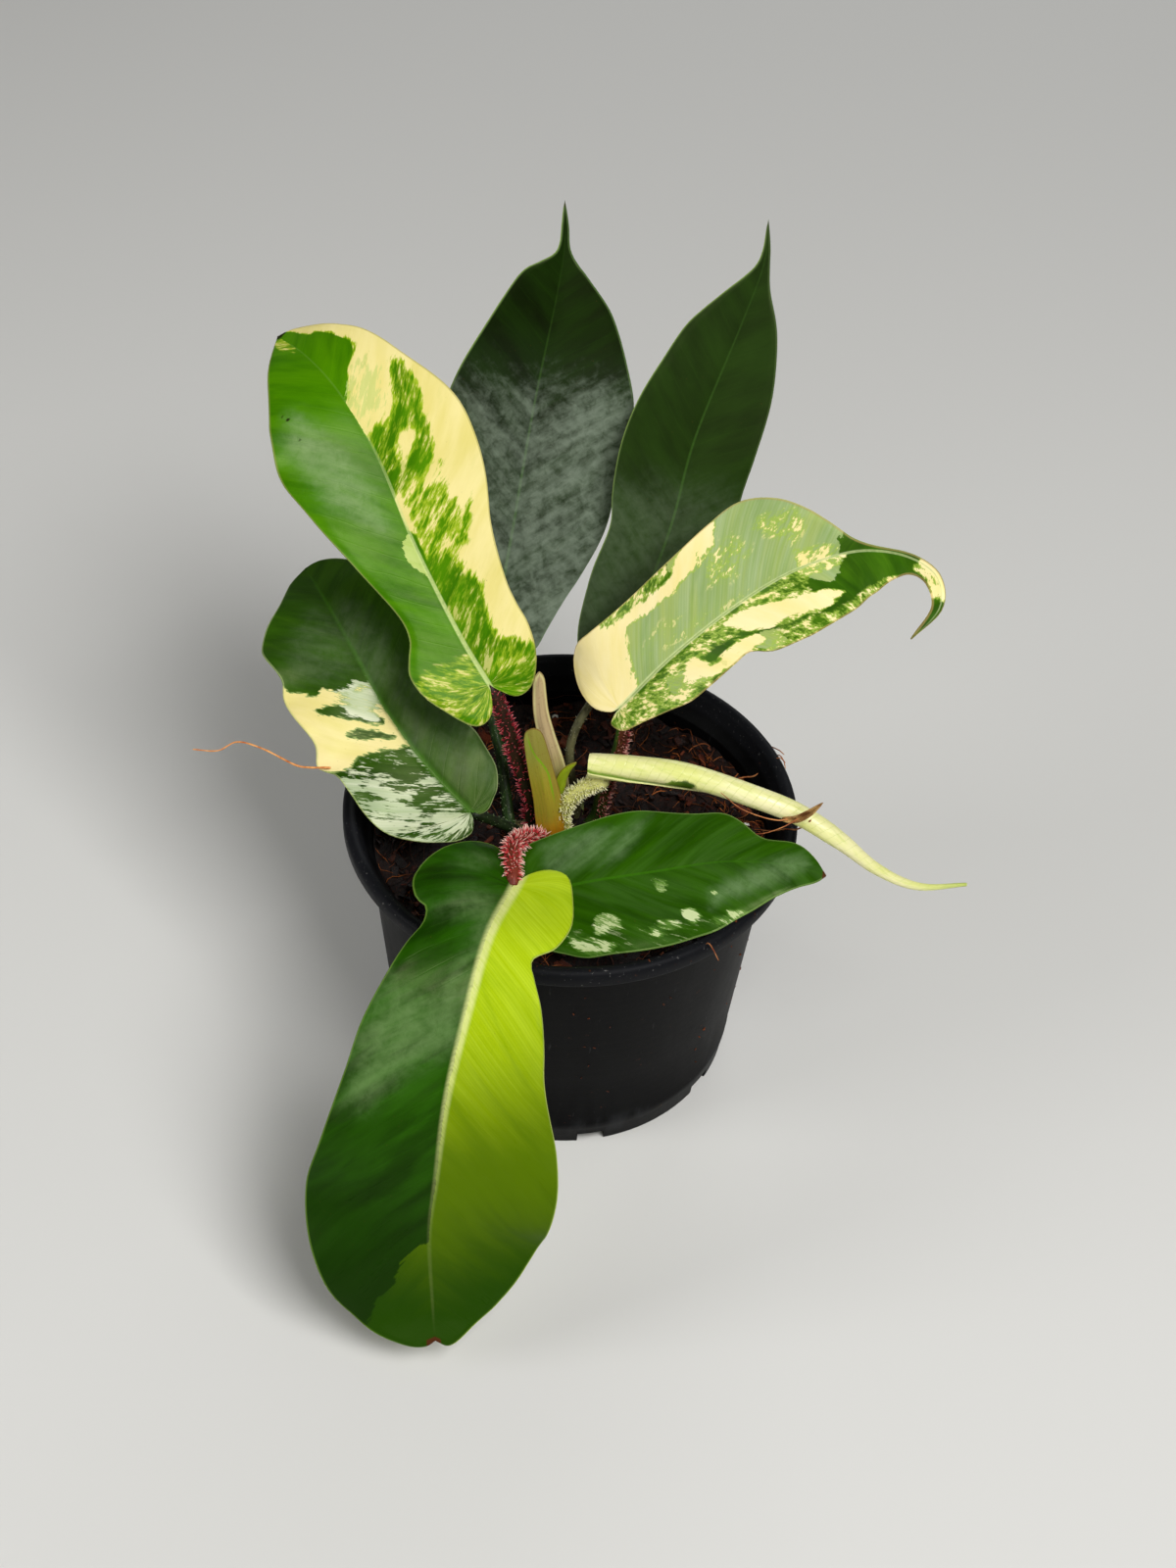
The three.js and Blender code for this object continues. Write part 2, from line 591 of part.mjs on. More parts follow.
function potBody() {
  const under = POT_HEIGHT - LIP_HEIGHT;
  const inner = RIM_RADIUS - RIM_WIDTH;
  const profile = [
    [0, 0], [BASE_RADIUS - 1.2, 0], [BASE_RADIUS, 1.2], [wallAt(FLARE_LEVEL), FLARE_LEVEL],
    [inner - 1, under], [RIM_RADIUS - 0.6, under], [RIM_RADIUS, under + 1],
    [RIM_RADIUS - 0.1, POT_HEIGHT - 1.6],
    [RIM_RADIUS - 1.4, POT_HEIGHT - 0.2], [RIM_RADIUS - 2.4, POT_HEIGHT], [inner + 1, POT_HEIGHT - 0.6],
    [inner, POT_HEIGHT - 1.8], [inner - 1.4, FLARE_LEVEL + 5], [wallAt(FLARE_LEVEL) - WALL, FLARE_LEVEL],
    [wallAt(FLOOR) - WALL, FLOOR + 2],
    [wallAt(FLOOR) - WALL - 2, FLOOR], [0, FLOOR],
  ].map(([r, z]) => new THREE.Vector2(r, z));
  // LatheGeometry turns about Y, so the profile is stood up along Z afterwards.
  const shell = new THREE.LatheGeometry(profile, POT_SIDES).rotateX(Math.PI / 2);
  let body = solid(shell);
  if (body.volume() < 0) throw new Error("the pot's profile runs the wrong way");
  for (let i = 0; i < DRAIN_SLOTS; i++) {
    const turn = ((i + 0.28) / DRAIN_SLOTS) * 2 * Math.PI;
    const slot = new THREE.BoxGeometry(DRAIN_SLOT[1], DRAIN_SLOT[0], DRAIN_SLOT[2] * 2);
    slot.translate(BASE_RADIUS - 1.5, 0, 0).rotateZ(turn);
    body = body.subtract(solid(slot));
  }
  return body;
}

// Potting mix
function soilHeight(x, y) {
  const short = Math.sin(x * 0.21 + 0.7) * Math.cos(y * 0.17 + 0.3);
  const long = 0.6 * Math.sin(x * 0.09 - y * 0.13 + 2);
  const mound = SOIL_MOUND * Math.exp(-(x * x + y * y) / SOIL_MOUND_SPREAD);
  return SOIL_LEVEL + SOIL_BUMP * (short + long) + mound;
}

function soilBody() {
  const points = [];
  const triangles = [];
  const floor = FLOOR + GAP;
  const ring = (radius, height) => {
    const start = points.length;
    for (let j = 0; j < SOIL_SIDES; j++) {
      const t = (j / SOIL_SIDES) * 2 * Math.PI;
      const x = radius * Math.cos(t), y = radius * Math.sin(t);
      points.push(new THREE.Vector3(x, y, height ?? soilHeight(x, y)));
    }
    return start;
  };
  const join = (a, b) => {
    for (let j = 0; j < SOIL_SIDES; j++) {
      const k = (j + 1) % SOIL_SIDES;
      triangles.push([a + j, a + k, b + k], [a + j, b + k, b + j]);
    }
  };
  const cap = (start, z, up) => {
    points.push(new THREE.Vector3(0, 0, z));
    const c = points.length - 1;
    for (let j = 0; j < SOIL_SIDES; j++) {
      const k = (j + 1) % SOIL_SIDES;
      triangles.push(up ? [start + j, start + k, c] : [start + k, start + j, c]);
    }
  };
  const shrink = 1 / Math.cos(Math.PI / SOIL_SIDES) - 1; // flats stay clear of the round wall
  const clear = (z) => wallAt(z) - WALL - GAP - 0.5 - shrink;
  const bottom = ring(clear(floor) - 2.5, floor);
  cap(bottom, floor, false);
  const low = ring(clear(floor + 3), floor + 3);
  join(bottom, low);
  const rim = clear(SOIL_LEVEL - 4);
  let last = ring(rim);
  join(low, last);
  for (let i = SOIL_RINGS - 1; i > 0; i--) {
    const next = ring((rim * i) / SOIL_RINGS);
    join(last, next);
    last = next;
  }
  cap(last, soilHeight(0, 0), true);
  let body = solid(closedGeometry(points, triangles));

  // Husk chips lie in the surface at every angle.
  const draw = random(4127);
  for (let i = 0; i < CHIPS; i++) {
    const radius = 68 * Math.sqrt((i + draw()) / CHIPS), turn = i * GOLDEN_TURN + draw();
    const size = [mix(...CHIP_LENGTH, draw()), mix(...CHIP_WIDTH, draw()), mix(...CHIP_HEIGHT, draw())];
    const reach = Math.min(radius, rim - 0.62 * size[0] - 1.5);
    const x = reach * Math.cos(turn), y = reach * Math.sin(turn);
    const chip = new THREE.BoxGeometry(...size);
    chip.rotateX(mix(-CHIP_TILT, CHIP_TILT, draw()));
    chip.rotateY(mix(-CHIP_TILT, CHIP_TILT, draw()));
    chip.rotateZ(draw() * Math.PI);
    chip.translate(x, y, soilHeight(x, y) + mix(-0.3, 1, draw()));
    body = body.add(solid(chip));
  }
  return body;
}

// Assembly
const philodendron = new THREE.Group();
function place(name, body, colour, roughness = 0.6) {
  const material = new THREE.MeshStandardMaterial({ color: colour, roughness });
  const mesh = new THREE.Mesh(geometryOf(largest(body)), material);
  mesh.name = name;
  philodendron.add(mesh);
}

const STEPS_PER_POINT = 1.5;
const stepsFor = (points) => Math.ceil((points.length - 1) * STEPS_PER_POINT);
const stemCore = (extra) => tube(STEM.points, STEM.radii, 12, 8, extra);
const stemCutter = stemCore(GAP);

const holes = [stemCutter];
const cutterShape = { extra: GAP, grow: GAP, keel: KEEL + GAP };
const cutters = [
  stemCutter,
  ...LEAVES.map((leaf) => blade(leaf, cutterShape)),
  ...SHEATHS.map((sheath) => strip(sheath, { extra: GAP, grow: GAP })),
];
const clearOfOthers = (body) => cutters.reduce((rest, cutter) => rest.subtract(cutter), body);

LEAVES.forEach((leaf, i) => {
  place(leaf.name + "_blade", blade(leaf), leaf.colour, 0.45);
  const { points, radii, colour } = leaf.petiole;
  const core = tube(points, radii, PETIOLE_SIDES, stepsFor(points));
  const whole = bristled(core, leaf.petiole, 31 + i, SOIL_LEVEL + 8);
  place(leaf.name + "_petiole", clearOfOthers(whole), colour);
  holes.push(tube(points, radii, PETIOLE_SIDES, stepsFor(points), GAP));
});

function rolledSection(u) {
  const { radii, overlap, twist, sides } = ROLLED_LEAF;
  const r = along(radii, u);
  const ring = [];
  for (let j = 0; j <= sides; j++) {
    const t = (j / sides) * 2 * Math.PI;
    const reach = r * (1 - overlap * (j / sides));
    const turn = t + twist * u * 2;
    ring.push([reach * Math.cos(turn), reach * Math.sin(turn)]);
  }
  return ring;
}
const rolled = solid(loft(curveOf(ROLLED_LEAF.points), ROLLED_LEAF.steps, rolledSection));
place("leaf_8_rolled_blade", rolled, 0xc9cf6a, 0.5);
const rolledCutter = tube(ROLLED_LEAF.points, ROLLED_LEAF.radii, 12, 18, GAP + 0.2);
{
  const { points, radii, colour } = ROLLED_PETIOLE;
  const core = tube(points, radii, PETIOLE_SIDES, stepsFor(points));
  const whole = bristled(core, ROLLED_PETIOLE, 77, SOIL_LEVEL + 9);
  place("leaf_8_petiole", clearOfOthers(whole).subtract(rolledCutter), colour);
  holes.push(tube(points, radii, PETIOLE_SIDES, stepsFor(points), GAP));
}

for (const sheath of SHEATHS) {
  place(sheath.name, strip(sheath).subtract(stemCutter), sheath.colour);
  holes.push(strip(sheath, { extra: GAP }));
}

let stem = stemCore(0);
place("stem", stem, 0x6d7a45);

const grains = PERLITE.map(([x, y, r], i) => {
  const spot = new THREE.Matrix4().setPosition(x, y, soilHeight(x, y) + GRAIN_RISE);
  const grain = (extra) => solid(new THREE.IcosahedronGeometry(r + extra, 0).scale(...GRAIN_SHAPE), spot);
  place("perlite_" + (i + 1), grain(0), 0xe9e6df, 0.9);
  return grain(GAP + 0.1);
});

let soil = soilBody();
for (const hole of [...holes, ...grains]) soil = soil.subtract(hole);
place("potting_mix", soil, 0x3a2318, 0.95);

place("pot", potBody(), 0x17181a, 0.5);

place("dry_root", tube(DRY_ROOT.points, [DRY_ROOT.radius, 0.35], 6, 12), 0xb0702c, 0.8);
place("dry_flake", strip(DRY_FLAKE), 0x8a5a30, 0.8);

export default philodendron;
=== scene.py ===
import math

import bpy
import numpy as np
from mathutils import Matrix, Vector, noise


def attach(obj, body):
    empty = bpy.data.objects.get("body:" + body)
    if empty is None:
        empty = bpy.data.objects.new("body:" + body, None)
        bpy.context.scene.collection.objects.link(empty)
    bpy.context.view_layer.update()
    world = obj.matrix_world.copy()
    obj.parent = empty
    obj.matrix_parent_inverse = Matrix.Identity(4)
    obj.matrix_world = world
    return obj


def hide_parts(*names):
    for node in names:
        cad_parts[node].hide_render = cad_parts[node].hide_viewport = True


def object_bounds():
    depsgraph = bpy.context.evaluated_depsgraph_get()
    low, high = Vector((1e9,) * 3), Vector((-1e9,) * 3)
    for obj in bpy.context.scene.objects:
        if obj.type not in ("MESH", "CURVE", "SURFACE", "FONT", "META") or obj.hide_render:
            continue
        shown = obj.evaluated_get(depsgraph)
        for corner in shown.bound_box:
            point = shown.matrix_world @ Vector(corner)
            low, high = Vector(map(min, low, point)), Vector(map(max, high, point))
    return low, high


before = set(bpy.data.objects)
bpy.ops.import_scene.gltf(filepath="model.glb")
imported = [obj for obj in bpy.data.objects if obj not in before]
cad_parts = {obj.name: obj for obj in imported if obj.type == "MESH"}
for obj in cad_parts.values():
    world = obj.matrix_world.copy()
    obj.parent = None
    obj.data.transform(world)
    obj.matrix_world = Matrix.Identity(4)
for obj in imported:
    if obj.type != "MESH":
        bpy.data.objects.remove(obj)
cad_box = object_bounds()
MM = 0.001
BOX_LOW, BOX_HIGH = (np.array(corner) / MM for corner in cad_box)

# The plant's own numbers, as in its solids
LEAVES = {
    "leaf_1": dict(
        rib=[(-29.5, 4, 163.5), (-40.5, 14, 176.5), (-56, 30, 199), (-70.5, 47, 224.5), (-84, 60, 239),
            (-96.5, 74, 243), (-108.5, 90, 239.5)],
        face=[(0.05, -0.75, 0.65), (-0.2, -0.2, 0.95)], cup=0.15, wave=(1.6, 46, 0.6),
        left=[(-4, 1.5), (-8.5, 4), (-10.5, 8), (-9, 12), (-3, 16), (7, 20.5), (15, 21.5), (20, 19),
            (26, 15.5), (35, 15.5), (53, 21), (73, 28.5), (91, 32.5), (105, 29), (125, 17.5), (141, 6)],
        right=[(-3, 1.5), (-7.5, 5), (-8.5, 9), (-6, 14), (2, 19.5), (11, 22), (20, 22), (29, 22.5),
            (46, 25.5), (66, 31), (80, 32.5), (91, 31.5), (105, 26), (120, 20.5), (130, 15), (145, 6)],
    ),
    "leaf_2": dict(
        rib=[(-30, 38, 159.5), (-25.5, 56, 187.5), (-20, 74, 227), (-14, 86, 262.5), (-12, 92, 279.5),
            (-12.5, 98, 292.5)],
        face=[(0.1, -0.85, 0.5), (0.15, -0.85, 0.5)], cup=0.2, wave=(1.2, 52, 2.2),
        left=[(-4, 2), (-8, 6), (-8.5, 11), (-5, 16), (3, 20), (14, 22.5), (26, 25), (40, 29),
            (54, 31), (68, 31.5), (79, 30), (91, 27), (104, 22), (117, 16.5), (124, 12.5),
            (127.5, 7.5), (130.5, 3), (134, 1.5), (140, 1)],
        right=[(-4, 2), (-8, 6), (-8.5, 11), (-4, 15.5), (3, 18), (14, 22), (24, 26), (40, 31),
            (53, 32.5), (68, 32.5), (85, 33), (99, 28), (114, 19.5), (124, 9.5), (127.5, 5.5),
            (130.5, 2.9), (134, 1.5), (140, 1)],
    ),
    "leaf_3": dict(
        rib=[(15.5, 34, 155.5), (28.5, 52, 195), (35, 64, 225.5), (47.5, 80, 260), (53.5, 88, 279),
            (54, 94, 292)],
        face=[(0.05, -0.85, 0.5), (0.05, -0.85, 0.5)], cup=0.2, wave=(1, 55, 4),
        left=[(-4, 2), (-8, 6), (-8, 11), (-4, 15.5), (4, 18.5), (14, 20), (26, 21), (42, 20.5),
            (55, 23), (71, 24), (86, 23), (99, 20.5), (114, 17), (126, 10.4), (134.5, 5),
            (139.5, 2.2), (145, 1)],
        right=[(-4, 2), (-8, 6), (-8, 11), (-4, 15.5), (4, 18.5), (16, 19.5), (32, 19.5), (48, 20),
            (64, 20.5), (81, 21), (101, 19), (121, 12), (133, 4.6), (140, 2), (146, 1)],
    ),
    "leaf_4": dict(
        rib=[(15, 4, 156), (30.5, 8, 176), (49, 12, 195), (66.5, 14, 210), (83.5, 14, 219.5),
            (95, 12, 223), (105.5, 8, 223.5), (112.5, 1, 222), (113.5, -6, 215.5), (106, -9, 204.5)],
        face=[(-0.4, -0.5, 0.75), (0.3, -0.8, 0.3)], cup=0.15, wave=(1.5, 44, 1.2),
        left=[(-4, 1.5), (-8, 7), (-8, 15), (-4, 22.5), (2, 26.5), (10, 26), (21, 25), (35, 24.5),
            (48, 25), (62, 27), (73, 28), (82, 24), (88.5, 18), (94, 11), (99.5, 4), (107, 1.2),
            (120, 1.2), (138, 1.2)],
        right=[(-4, 0.8), (-6, 2.5), (-3, 7.5), (5, 10.5), (16, 14.5), (24, 17), (34, 17), (44, 16),
            (51, 15.5), (58, 19.5), (67, 21), (78, 21.2), (94, 18.5), (106, 13.8), (114, 8),
            (121, 4.4), (132, 4), (142, 2)],
    ),
    "leaf_5": dict(
        rib=[(-34.5, -12, 118), (-49.5, -2, 128), (-65.5, 12, 141), (-75.5, 24.5, 151), (-89, 46, 158),
            (-100.5, 69, 156)],
        face=[(0, -0.4, 0.9), (-0.1, -0.4, 0.9)], cup=0.12, wave=(2.2, 24, 0.3),
        left=[(-3, 1.5), (-5.5, 5), (-4, 11), (2, 18.5), (9, 24), (15, 27), (23, 28), (31, 27.5),
            (37, 27.5), (42, 31), (48, 27.5), (58, 29.5), (65, 29.5), (71, 27), (80, 28.5), (86, 28),
            (92, 24), (100, 15.5), (111, 8)],
        right=[(-2.5, 1.5), (-3.5, 5), (-2, 9), (0.5, 13.5), (7, 18.5), (19, 20.5), (31, 19.5),
            (45, 21), (60, 23.5), (75, 24.5), (90, 22.5), (102, 18), (110, 13), (116, 6)],
    ),
    "leaf_6": dict(
        rib=[(-9.5, -47.5, 117), (7.5, -44.5, 121), (29, -42, 125), (52.5, -37.5, 127),
            (73.5, -36.5, 126), (87.5, -36.5, 122)],
        face=[(0, -0.3, 0.95), (0, -0.3, 0.95)], cup=-0.05, wave=(1.2, 36, 2.6),
        left=[(-3, 2), (-6, 6), (-6, 12), (-1.5, 18), (8, 20.5), (17, 22), (29, 23.5), (42, 23.5),
            (57, 19.5), (65, 18.5), (70, 15.5), (77, 9.5), (88, 9), (95, 5)],
        right=[(-3, 1.5), (-7, 5), (-8, 11), (-3, 18), (5, 23), (13, 26.5), (26, 27), (37, 26.5),
            (48, 25.5), (58, 24), (72, 18), (82, 11.5), (90, 7), (96, 3.5)],
    ),
    "leaf_7": dict(
        rib=[(-17.5, -56.5, 129), (-24, -80.5, 132), (-29, -103.5, 121), (-34, -120.5, 98),
            (-36.5, -132.5, 71), (-38, -140.5, 51), (-36, -151.5, 27), (-34.5, -158.5, 17)],
        face=[(0, -0.35, 0.94), (0, -0.9, 0.45)], cup=0.1, wave=(0.9, 50, 0.4),
        left=[(-3, 1), (-9, 3.5), (-13.5, 9), (-12.5, 15.5), (-3, 20), (11, 24), (23, 22.5),
            (30, 16.5), (37, 19), (45, 23), (56, 27), (66, 29.5), (80, 34), (94, 38), (108, 39.8),
            (122, 38.6), (132, 36.4), (141, 32.6), (151, 26.4), (163, 16), (170, 8.5), (172.5, 4)],
        right=[(-5, 1.5), (-12, 6), (-15.5, 12), (-12, 20.5), (-1, 27.5), (14, 29.5), (21, 26),
            (23, 21.5), (28, 20.5), (35, 23.5), (46, 27), (62, 31), (78, 33), (96, 37), (112, 40.5),
            (124, 40.5), (138, 37), (152, 31.5), (164, 22), (171, 11), (172.5, 4)],
    ),
}

STALKS = {
    "leaf_1_petiole": dict(
        points=[(-10, 0, 94), (-12.5, -1.5, 103.5), (-14.5, -1, 117), (-17, 0, 126), (-20, 1, 135.5),
            (-25.5, 3, 154), (-29.5, 4.5, 163)],
        radii=(2.9, 2.2),
    ),
    "leaf_2_petiole": dict(
        points=[(-18, -4, 92), (-21, -3, 101.5), (-22.7, 2, 109.5), (-25.7, 12, 123.5),
            (-28.5, 18, 131), (-31, 29, 146), (-30, 37.5, 159)],
        radii=(2.1, 1.8),
    ),
    "leaf_3_petiole": dict(
        points=[(3, 1, 93), (2.5, 5, 101), (0.5, 7.5, 112), (-1, 9.5, 122), (-1.3, 11, 130.5),
            (1, 14, 138.5), (4.5, 18, 143.5), (10.5, 26.5, 150.5), (15.5, 33.5, 155)],
        radii=(1.6, 1.5),
    ),
    "leaf_4_petiole": dict(
        points=[(4.5, 0.5, 94), (6.5, 1.5, 100), (9.5, 3, 105), (11, 3.5, 115), (15, 4, 134),
            (16.5, 4.5, 147), (15, 4.5, 155.5)],
        radii=(2.6, 2.2),
    ),
    "leaf_5_petiole": dict(
        points=[(-13, -4.5, 96), (-17.5, -6, 103), (-25, -8.5, 110), (-34, -12, 117.4)],
        radii=(2, 1.8),
    ),
    "leaf_6_petiole": dict(
        points=[(-5, -9, 96), (-6, -17, 102), (-8, -28, 106), (-9.5, -40, 111), (-9.7, -46.5, 116.2)],
        radii=(2, 1.8),
    ),
    "leaf_7_petiole": dict(
        points=[(-9, -6, 96), (-9.7, -12.5, 106), (-14, -23, 118), (-18, -36, 127.5), (-18, -45, 130),
            (-17, -55.5, 128.6)],
        radii=(2.7, 2.2),
    ),
    "leaf_8_petiole": dict(
        points=[(-2.5, -3, 99), (-2.8, -3.2, 104), (-3.1, -3.5, 109.2), (-2.4, -4, 113.9),
            (-1.2, -4.7, 118.2), (1.2, -5.4, 122.8), (4.5, -6, 126.8), (8, -6.5, 129.8), (12.5, -6.8, 131.4)],
        radii=(2.7, 2.3),
    ),
}

SHEATHS = {
    "sheath_front": dict(
        rib=[(-6, -9.5, 102.5), (-6.7, -9.2, 110), (-8, -8.5, 121), (-10.8, -7.2, 134.5),
            (-13.2, -6, 146.5), (-14.3, -5, 152.6)],
        face=[(0.1, -1, 0.2), (0.1, -1, 0.2)], cup=-0.5,
        half=[(0, 3.2), (3, 5.2), (12, 5.6), (26, 5.1), (38, 4.5), (45, 3.9), (48.5, 3), (50, 1.8)],
    ),
    "sheath_back": dict(
        rib=[(-4.8, 0.5, 98), (-4.6, 0.3, 107), (-4.5, 0.3, 118), (-6.2, 1.2, 130), (-9.6, 3, 143),
            (-11.4, 4, 151), (-12.2, 4.5, 159), (-12.8, 5, 169.5)],
        face=[(0.3, -1, 0.2), (0.3, -1, 0.2)], cup=-0.45,
        half=[(0, 3), (4, 4.6), (16, 5), (28, 4.3), (40, 3.4), (52, 2.9), (62, 2.5), (68, 2.1), (70.5, 1.3)],
    ),
    "sheath_tip": dict(
        rib=[(-5.3, -3.6, 113.5), (-4.7, -3.7, 119), (-4, -3.9, 124), (-3.4, -4.3, 128.6),
            (-1.8, -5.6, 134.4), (1.2, -7.3, 140.1)],
        face=[(0.2, -1, 0.1), (0.2, -1, 0.1)], cup=-0.4,
        half=[(0, 1.4), (4, 1.9), (12, 2), (18, 1.8), (23, 1.2), (26.5, 0.6)],
    ),
}

ROLLED_LEAF = dict(
    points=[(5.3, -6.2, 138.3), (19, -7.5, 139), (40, -10, 139), (63, -15.5, 136), (78.5, -18, 131),
        (92.5, -22, 124), (106, -24.5, 114), (121, -25, 107), (139, -20, 104)],
    radii=[4.6, 5, 5, 4.5, 4.3, 4.1, 3.7, 2.6, 1.9, 1.3, 0.7],
    overlap=0.17, twist=2.4,
)
STEM = dict(
    points=[(-33, 8, 74), (-24, 3, 87), (-13, -3, 95), (-2, -3, 96), (8, 0, 91)],
    radii=[6, 7.5, 8.6, 8.4, 6.5],
)
DRY_ROOT = [
    (-82.6, -9.2, 132.9), (-85, -9.45, 133.1), (-90, -10, 133.3), (-95, -9.7, 134), (-106, -6, 137),
    (-115, -4.3, 138), (-122, -5, 134), (-131, -3, 132),
]
DRY_FLAKE = dict(
    rib=[(72.3, -21.9, 132.9), (76.5, -23.6, 135.2), (80.5, -25, 140), (84, -26, 146)],
    face=[(-0.2, -0.7, 0.7), (-0.5, -0.7, 0.3)], cup=0.3,
    half=[(0, 1.2), (3, 2.2), (9, 2.6), (14, 1.8)],
)
PERLITE = [(-8, 58, 1.4), (63, 7, 1.4), (22, -30, 1.6)]  # x, y and radius of each grain
POT = dict(height=114, rim=80, rim_width=5, lip=6.5, wall_top=71.8, flare=103, base=63, wall=1.4, floor=2.4)
DRAIN_SLOTS = dict(count=8, first_turn=0.28, size=(9, 10, 10), inset=1.5)
SOIL_LEVEL = 98.5
SOIL_REACH = 69.6

# The make of a blade, in mm unless said
VEIN_SLANT = 0.45  # how far a side vein runs on for each millimetre that it goes out
VEIN_SPACING = 0.78  # cm along the rib
SWEEP = 0.36  # how far the markings lean towards the tip beyond the side veins
LEAF_SWEEP = dict(leaf_6=1.0)
TIP_FAN = 0.985  # share of the rib beyond which the last side veins fan out
LOBE_COUNT = 4.5  # cm of running count over the lobe behind the stalk
TIP_COUNT = 0.18  # cm of running count from one tip vein to the next
KEEL = 1.5
BLADE_HALF = 0.3  # half of a blade's thickness
WAVE_REACH = 30  # distance from the rib at which a margin's wave has its full height
WAVE_SHIFT = 1.7  # radians between the waves of the two margins
NEAR_RIB = 1.6  # an outline point nearer to the rib than this is moved
PAST_RIB = 4  # to this distance on its other side


def soil_height(x, y):
    """The smooth height of the mix, as in its solid."""
    wave = math.sin(x * 0.21 + 0.7) * math.cos(y * 0.17 + 0.3) + 0.6 * math.sin(x * 0.09 - y * 0.13 + 2)
    return SOIL_LEVEL + 1.3 * wave + 2 * math.exp(-(x * x + y * y) / 500)


def wall_radius(z):
    """The pot's outer radius at a height."""
    return POT["base"] + (POT["wall_top"] - POT["base"]) * z / POT["flare"]


